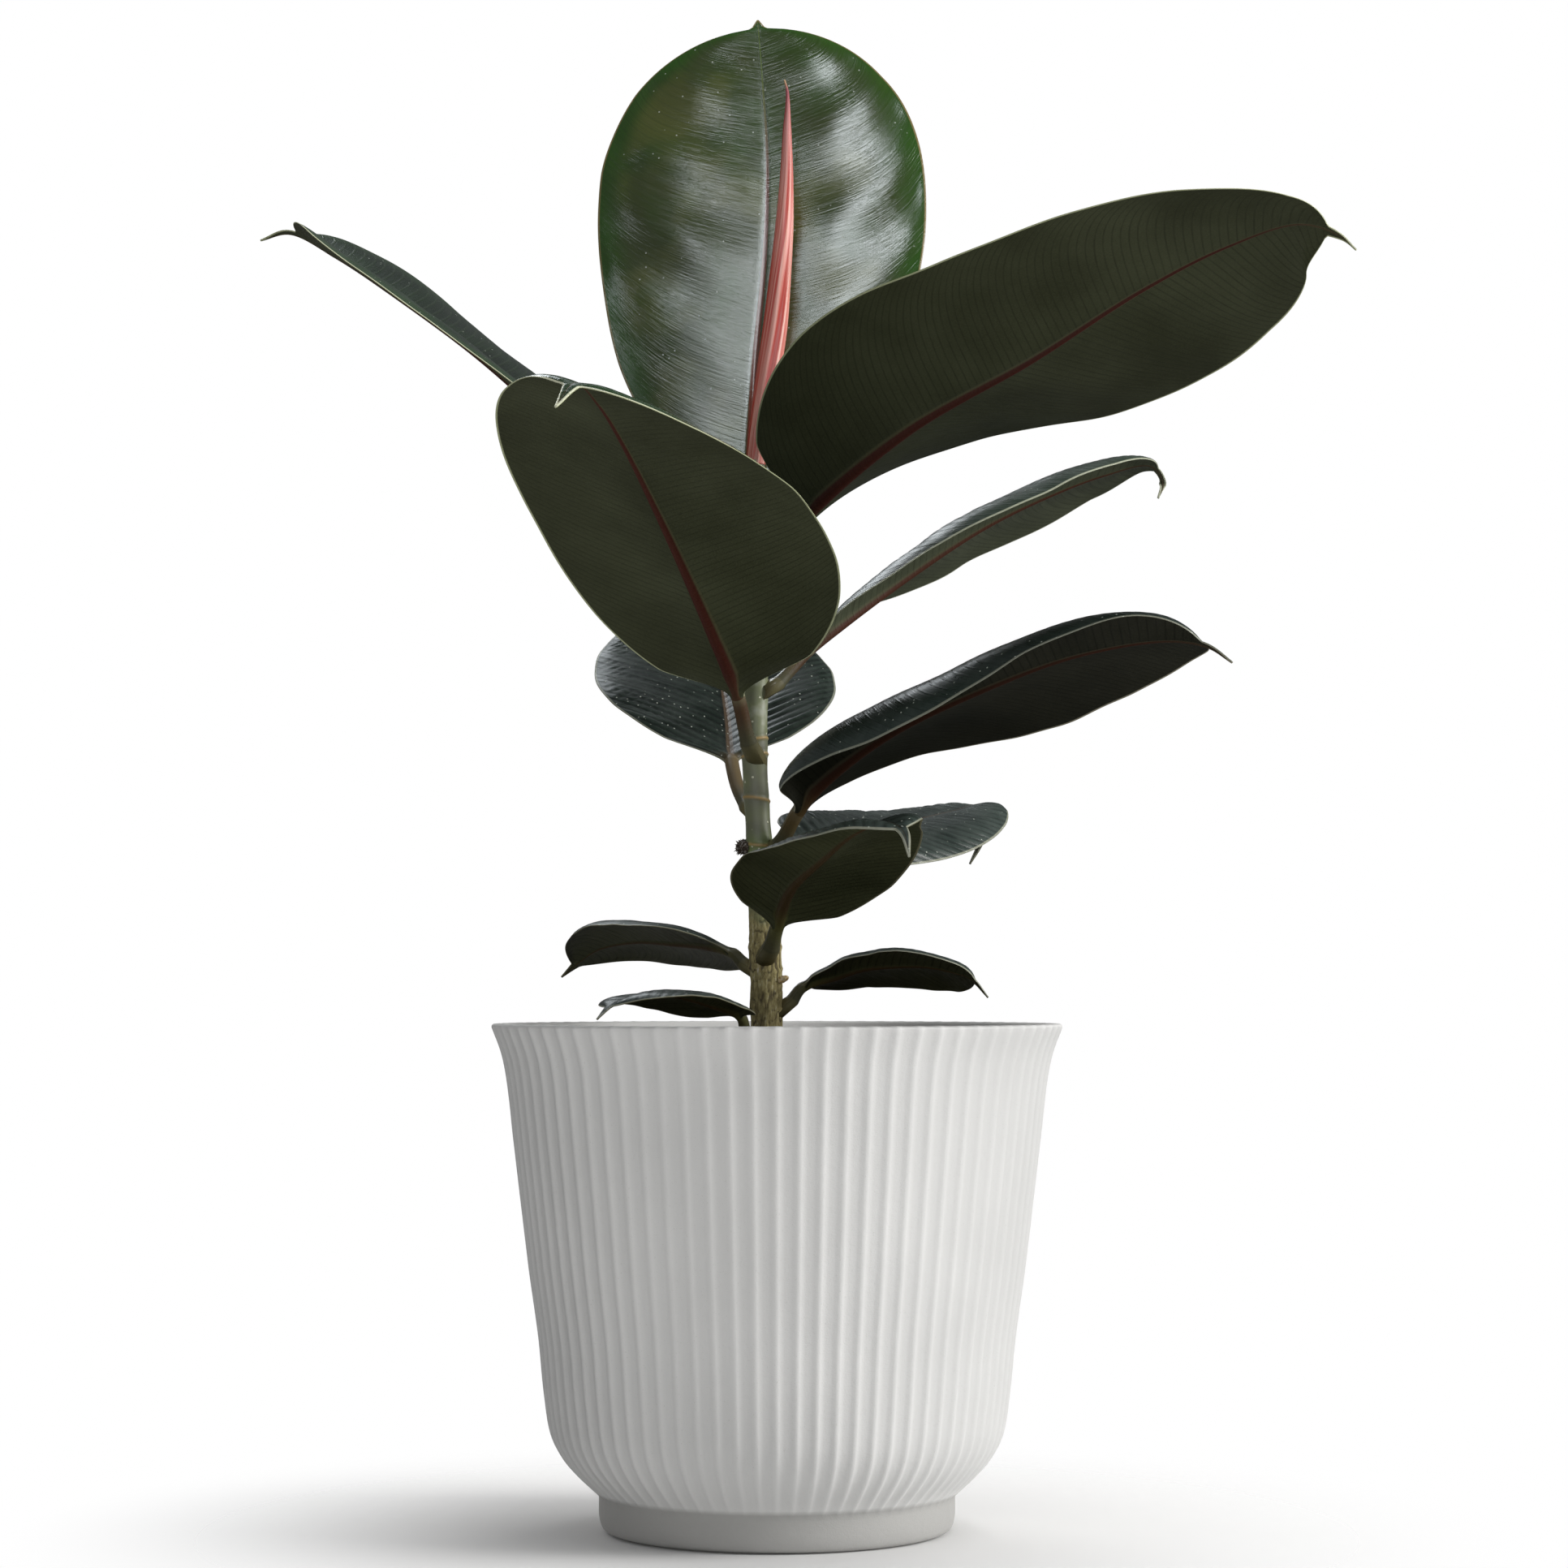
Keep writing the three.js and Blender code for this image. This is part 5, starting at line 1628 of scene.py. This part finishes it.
@dataclass
class Knob:
    """A small growth on the bark, set by rings of how far out, how wide and how tall it is to each side.

    It grows along way from the stem's middle at a height, and a rugged one has bumps and upright flakes.
    """

    name: str
    stands_for: str
    slot: str
    height: float
    way: Point
    rings: tuple[tuple[float, float, float], ...]
    finish: DryTissue
    rugged: float
    seed: int
    flakes: int = 0
    across: int = 28
    along: int = 22

    def mesh(self, stem: Stem) -> Piece:
        """Builds the growth from just inside the bark.

        Args:
            stem: the stem it sits on.

        Returns:
            The growth's mesh.
        """
        way = np.array(self.way) / np.linalg.norm(self.way)
        x, y, radius = stem.at(np.array(self.height))
        far = (radius - 0.3) / math.hypot(way[0], way[1])
        root = np.array([x + way[0] * far, y + way[1] * far, self.height])
        side = np.cross(way, (0, 0, 1))
        side /= np.linalg.norm(side)
        up = np.cross(side, way)
        given = np.array(self.rings)
        out = np.linspace(0, given[-1, 0], self.along)
        wide, tall = (np.interp(out, given[:, 0], given[:, k]) for k in (1, 2))
        spin = np.linspace(0, 2 * np.pi, self.across, endpoint=False)
        grid = (root + way * out[:, None, None] + side * (wide[:, None] * np.cos(spin))[..., None]
                + up * (tall[:, None] * np.sin(spin))[..., None])
        bumps = Grain(self.seed).at(grid, 1.1) + 0.5 * Grain(self.seed + 1).at(grid, 0.5)
        away = grid - (root + way * out[:, None, None])
        piece = Piece(self.name)
        piece.rows(grid + away * (self.rugged * bumps)[..., None])
        rng = np.random.default_rng(self.seed)
        for _ in range(self.flakes):
            at = rng.uniform(0.3, 0.95) * given[-1, 0]
            turn = rng.uniform(0, 2 * math.pi)
            w, t = (np.interp(at, given[:, 0], given[:, k]) for k in (1, 2))
            start = root + way * at + side * w * math.cos(turn) * 0.8 + up * t * math.sin(turn) * 0.8
            grow = side * math.cos(turn) + up * math.sin(turn) + way * rng.uniform(0, 1.2)
            self.flake(piece, start, grow / np.linalg.norm(grow), way, rng.uniform(0.7, 1.7))
        return piece

    def flake(self, piece: Piece, start: Numbers, grow: Numbers, way: Numbers, reach: float) -> None:
        """Stands one thin flake on the growth.

        Args:
            piece: the mesh it joins.
            start: the point it stands on.
            grow: the direction it stands in.
            way: the direction the whole growth takes.
            reach: how far it stands out in mm.
        """
        thin = np.cross(grow, way)
        thin /= np.linalg.norm(thin)
        flat = np.cross(grow, thin)
        steps = np.array([-0.3, 0.4, 1.0])
        girth = np.array([0.3, 0.26, 0.06])
        round_ = np.linspace(0, 2 * np.pi, 7, endpoint=False)
        piece.rows(
            start + grow * (steps * reach)[:, None, None]
            + thin * (girth[:, None] * np.cos(round_))[..., None]
            + flat * (0.6 * girth[:, None] * np.sin(round_))[..., None]
        )

    def build(self, stem: Stem) -> bpy.types.Object:
        """Makes the growth and its finish."""
        return self.mesh(stem).finished([self.finish.made(self.name)], self.stands_for, self.slot)


KNOBS = [
    Knob(
        "side_bud_scales", "side_bud", "bud_skin", height=210.5, way=(0.8, -0.46, 0.3),
        rings=((0, 1.1, 1.1), (0.8, 1.35, 1.3), (1.6, 1.5, 1.4), (2.4, 1.25, 1.15), (3.2, 1.3, 1.15),
               (3.9, 0.85, 0.8), (4.4, 0.2, 0.2)),
        finish=DryTissue(((0.34, "#a98550"), (0.5, "#d9c08e"), (1.0, "#ffffff"))), rugged=0.08, seed=51,
    ),
    Knob(
        "dried_leaf_base", "dried_stub", "dried_bark", height=262, way=(-1, -0.14, 0),
        rings=((0, 3.2, 2.6), (1.4, 3.2, 2.8), (3.2, 1.9, 2.2), (4.4, 0.8, 1)),
        finish=DryTissue(((0.34, "#1d1510"), (0.5, "#4a3b2a"), (1.0, "#ffffff"))), rugged=0.3, seed=55,
        flakes=90,
    ),
]


class Shows(Enum):
    """What a light can be seen in."""

    ALL = "all"
    SHADE = "shade"
    SHEEN = "sheen"


@dataclass(frozen=True)
class Softbox:
    """One soft rectangular light, with its places and sizes in metres and its power in watts."""

    name: str
    at: Point
    aim: Point
    size: tuple[float, float]
    watts: float
    shows: Shows = Shows.ALL

    def hang(self) -> None:
        """Hangs the light where it belongs and turns it to its aim."""
        data = bpy.data.lights.new(self.name, "AREA")
        data.shape = "RECTANGLE"
        data.size, data.size_y = self.size
        data.energy = self.watts
        # Light seen only in the gloss is cool, like a window; the rest is neutral
        data.color = (0.9, 0.96, 1.0) if self.shows is Shows.SHEEN else (1.0, 0.99, 0.97)
        made = bpy.data.objects.new(self.name, data)
        bpy.context.scene.collection.objects.link(made)
        made.location = self.at
        made.rotation_euler = (Vector(self.aim) - Vector(self.at)).to_track_quat("-Z", "Y").to_euler()
        made.visible_camera = False
        made.visible_diffuse = self.shows is not Shows.SHEEN
        made.visible_glossy = self.shows is not Shows.SHADE


LIGHTS = [
    Softbox("key_right", (1.9, -0.45, 0.9), (0, 0, 0.25), (1.0, 1.3), 40),
    Softbox("overhead", (0.2, 0.2, 2.0), (0, 0, 0.2), (1.3, 1.3), 20, Shows.SHADE),
    # Stands for the light that a white table top throws back up under the leaves
    Softbox("table_glow", (-0.2, -0.5, 0.02), (-0.2, -0.499, 1), (1.2, 0.7), 1.9, Shows.SHADE),
    Softbox("sheen_back", (0.1, 0.95, 1.9), (0, 0.05, 0.3), (0.5, 0.35), 0.7, Shows.SHEEN),
    Softbox("sheen_left", (-0.6, 1.1, 1.5), (0.1, -0.08, 0.32), (0.7, 0.6), 8, Shows.SHEEN),
    Softbox("fill_back", (-1.0, 2.2, 0.5), (0, 0, 0.25), (1.6, 1.2), 26, Shows.SHADE),
    Softbox("fill_front", (-0.5, -2.0, 0.25), (0, 0, 0.2), (1.6, 0.8), 7),
    # Panes that only show as reflections in the waxed blades
    *(
        Softbox(f"pane_{number}", (across, -2.0, 1.44), (across, 0, 0.5), (wide, 0.8), watts, Shows.SHEEN)
        for number, (across, wide, watts) in enumerate(
            ((-1.9, 0.35, 3.5), (-0.4, 0.12, 0.35), (-0.13, 0.2, 2.5), (0.33, 0.5, 9.0))
        )
    ),
    Softbox("pane_high_right", (0.42, -1.6, 2.05), (0, 0, 0.52), (0.5, 0.35), 6.0, Shows.SHEEN),
    Softbox("pane_high_left", (-0.38, -1.8, 1.84), (0, 0, 0.52), (0.3, 0.25), 1.5, Shows.SHEEN),
]


@dataclass
class Studio:
    """The plain pale floor, the white room and the camera at the photograph's viewing angle.

    The camera's place, lens and sensor are in mm, and the floor's reach and fade and what the camera sees
    are in metres. The horizon is how far it lies under the photograph's middle, in its pixels.
    """

    camera_at: Point = (2.7, -1516.0, 209.0)
    horizon: float = 247.0
    photo_width: int = 1932
    lens: float = 90.0
    sensor: float = 36.0
    sees: tuple[float, float] = (0.05, 50.0)
    floor_reach: float = 0.32
    floor_fade: tuple[float, float] = (0.07, 0.3)
    floor_grey: float = 0.88
    room_light: Point = (0.125, 0.127, 0.13)

    def floor(self) -> None:
        """Lays the round floor that the pot stands on, which thins out into the white room."""
        sides = 96
        turn = [2 * math.pi * k / sides for k in range(sides)]
        mesh = bpy.data.meshes.new("floor")
        mesh.from_pydata([(self.floor_reach * math.cos(a), self.floor_reach * math.sin(a), 0) for a in turn],
                         [], [list(range(sides))])
        made = bpy.data.objects.new("floor", mesh)
        bpy.context.scene.collection.objects.link(made)
        material, tree, shader = new_material("pale_floor")
        place = add(tree, "ShaderNodeTexCoord").outputs["Object"]
        away = add(tree, "ShaderNodeVectorMath", {0: place}, operation="LENGTH").outputs["Value"]
        thin = add(tree, "ShaderNodeMapRange", {0: away, 1: self.floor_fade[0], 2: self.floor_fade[1],
                                                3: 1.0, 4: 0.0}, interpolation_type="SMOOTHSTEP")
        wire(tree, shader, {"Base Color": (*[self.floor_grey] * 3, 1), "Roughness": 0.9,
                            "Specular IOR Level": 0.2, "Alpha": thin})
        mesh.materials.append(material)

    def world(self) -> None:
        """Sets the even room, which gives little light but looks white to the camera."""
        room = bpy.data.worlds.new("white_room")
        bpy.context.scene.world = room
        room.use_nodes = True
        tree = room.node_tree
        tree.nodes.clear()
        seen = add(tree, "ShaderNodeLightPath").outputs["Is Camera Ray"]
        glow = add(tree, "ShaderNodeMix", {0: seen, 6: (*self.room_light, 1), 7: (1.0, 1.0, 1.0, 1)},
                   data_type="RGBA")
        light = add(tree, "ShaderNodeBackground", {"Color": glow.outputs[2], "Strength": 1.0})
        add(tree, "ShaderNodeOutputWorld", {"Surface": light})

    def camera(self) -> None:
        """Places the camera where the photograph was taken from."""
        data = bpy.data.cameras.new("camera")
        data.lens, data.sensor_width = self.lens, self.sensor
        data.clip_start, data.clip_end = self.sees
        made = bpy.data.objects.new("camera", data)
        bpy.context.scene.collection.objects.link(made)
        made.location = [v * MM for v in self.camera_at]
        tilt = math.atan(self.horizon / (self.photo_width * self.lens / self.sensor))
        made.rotation_euler = (math.pi / 2 + tilt, 0, 0)
        bpy.context.scene.camera = made

    def build(self) -> None:
        """Sets the camera, floor, room, lights and colour handling."""
        self.camera()
        self.floor()
        self.world()
        for light in LIGHTS:
            light.hang()
        bpy.context.scene.view_settings.view_transform = "Standard"


def report(piece: bpy.types.Object) -> None:
    """Says in the log how fine a finished piece is."""
    LOG.info("%s: %d points, %d faces", piece.name, len(piece.data.vertices), len(piece.data.polygons))


def main() -> None:
    """Sets the studio, then builds every piece in order and logs how many points and faces each has."""
    logging.basicConfig(level=logging.INFO, format="%(name)s %(message)s")
    Studio().build()
    stem = Stem()
    skins = {age: [UPPER_SKINS[age].made(age), UNDER_SKINS[age].made(age)] for age in LeafAge}
    report(Pot().build())
    report(Soil().build())
    report(stem.build())
    for leaf in LEAVES:
        report(leaf.build(stem, skins))
    report(Sheath().build())
    for knob in KNOBS:
        report(knob.build(stem))


if __name__ == "__main__":
    main()
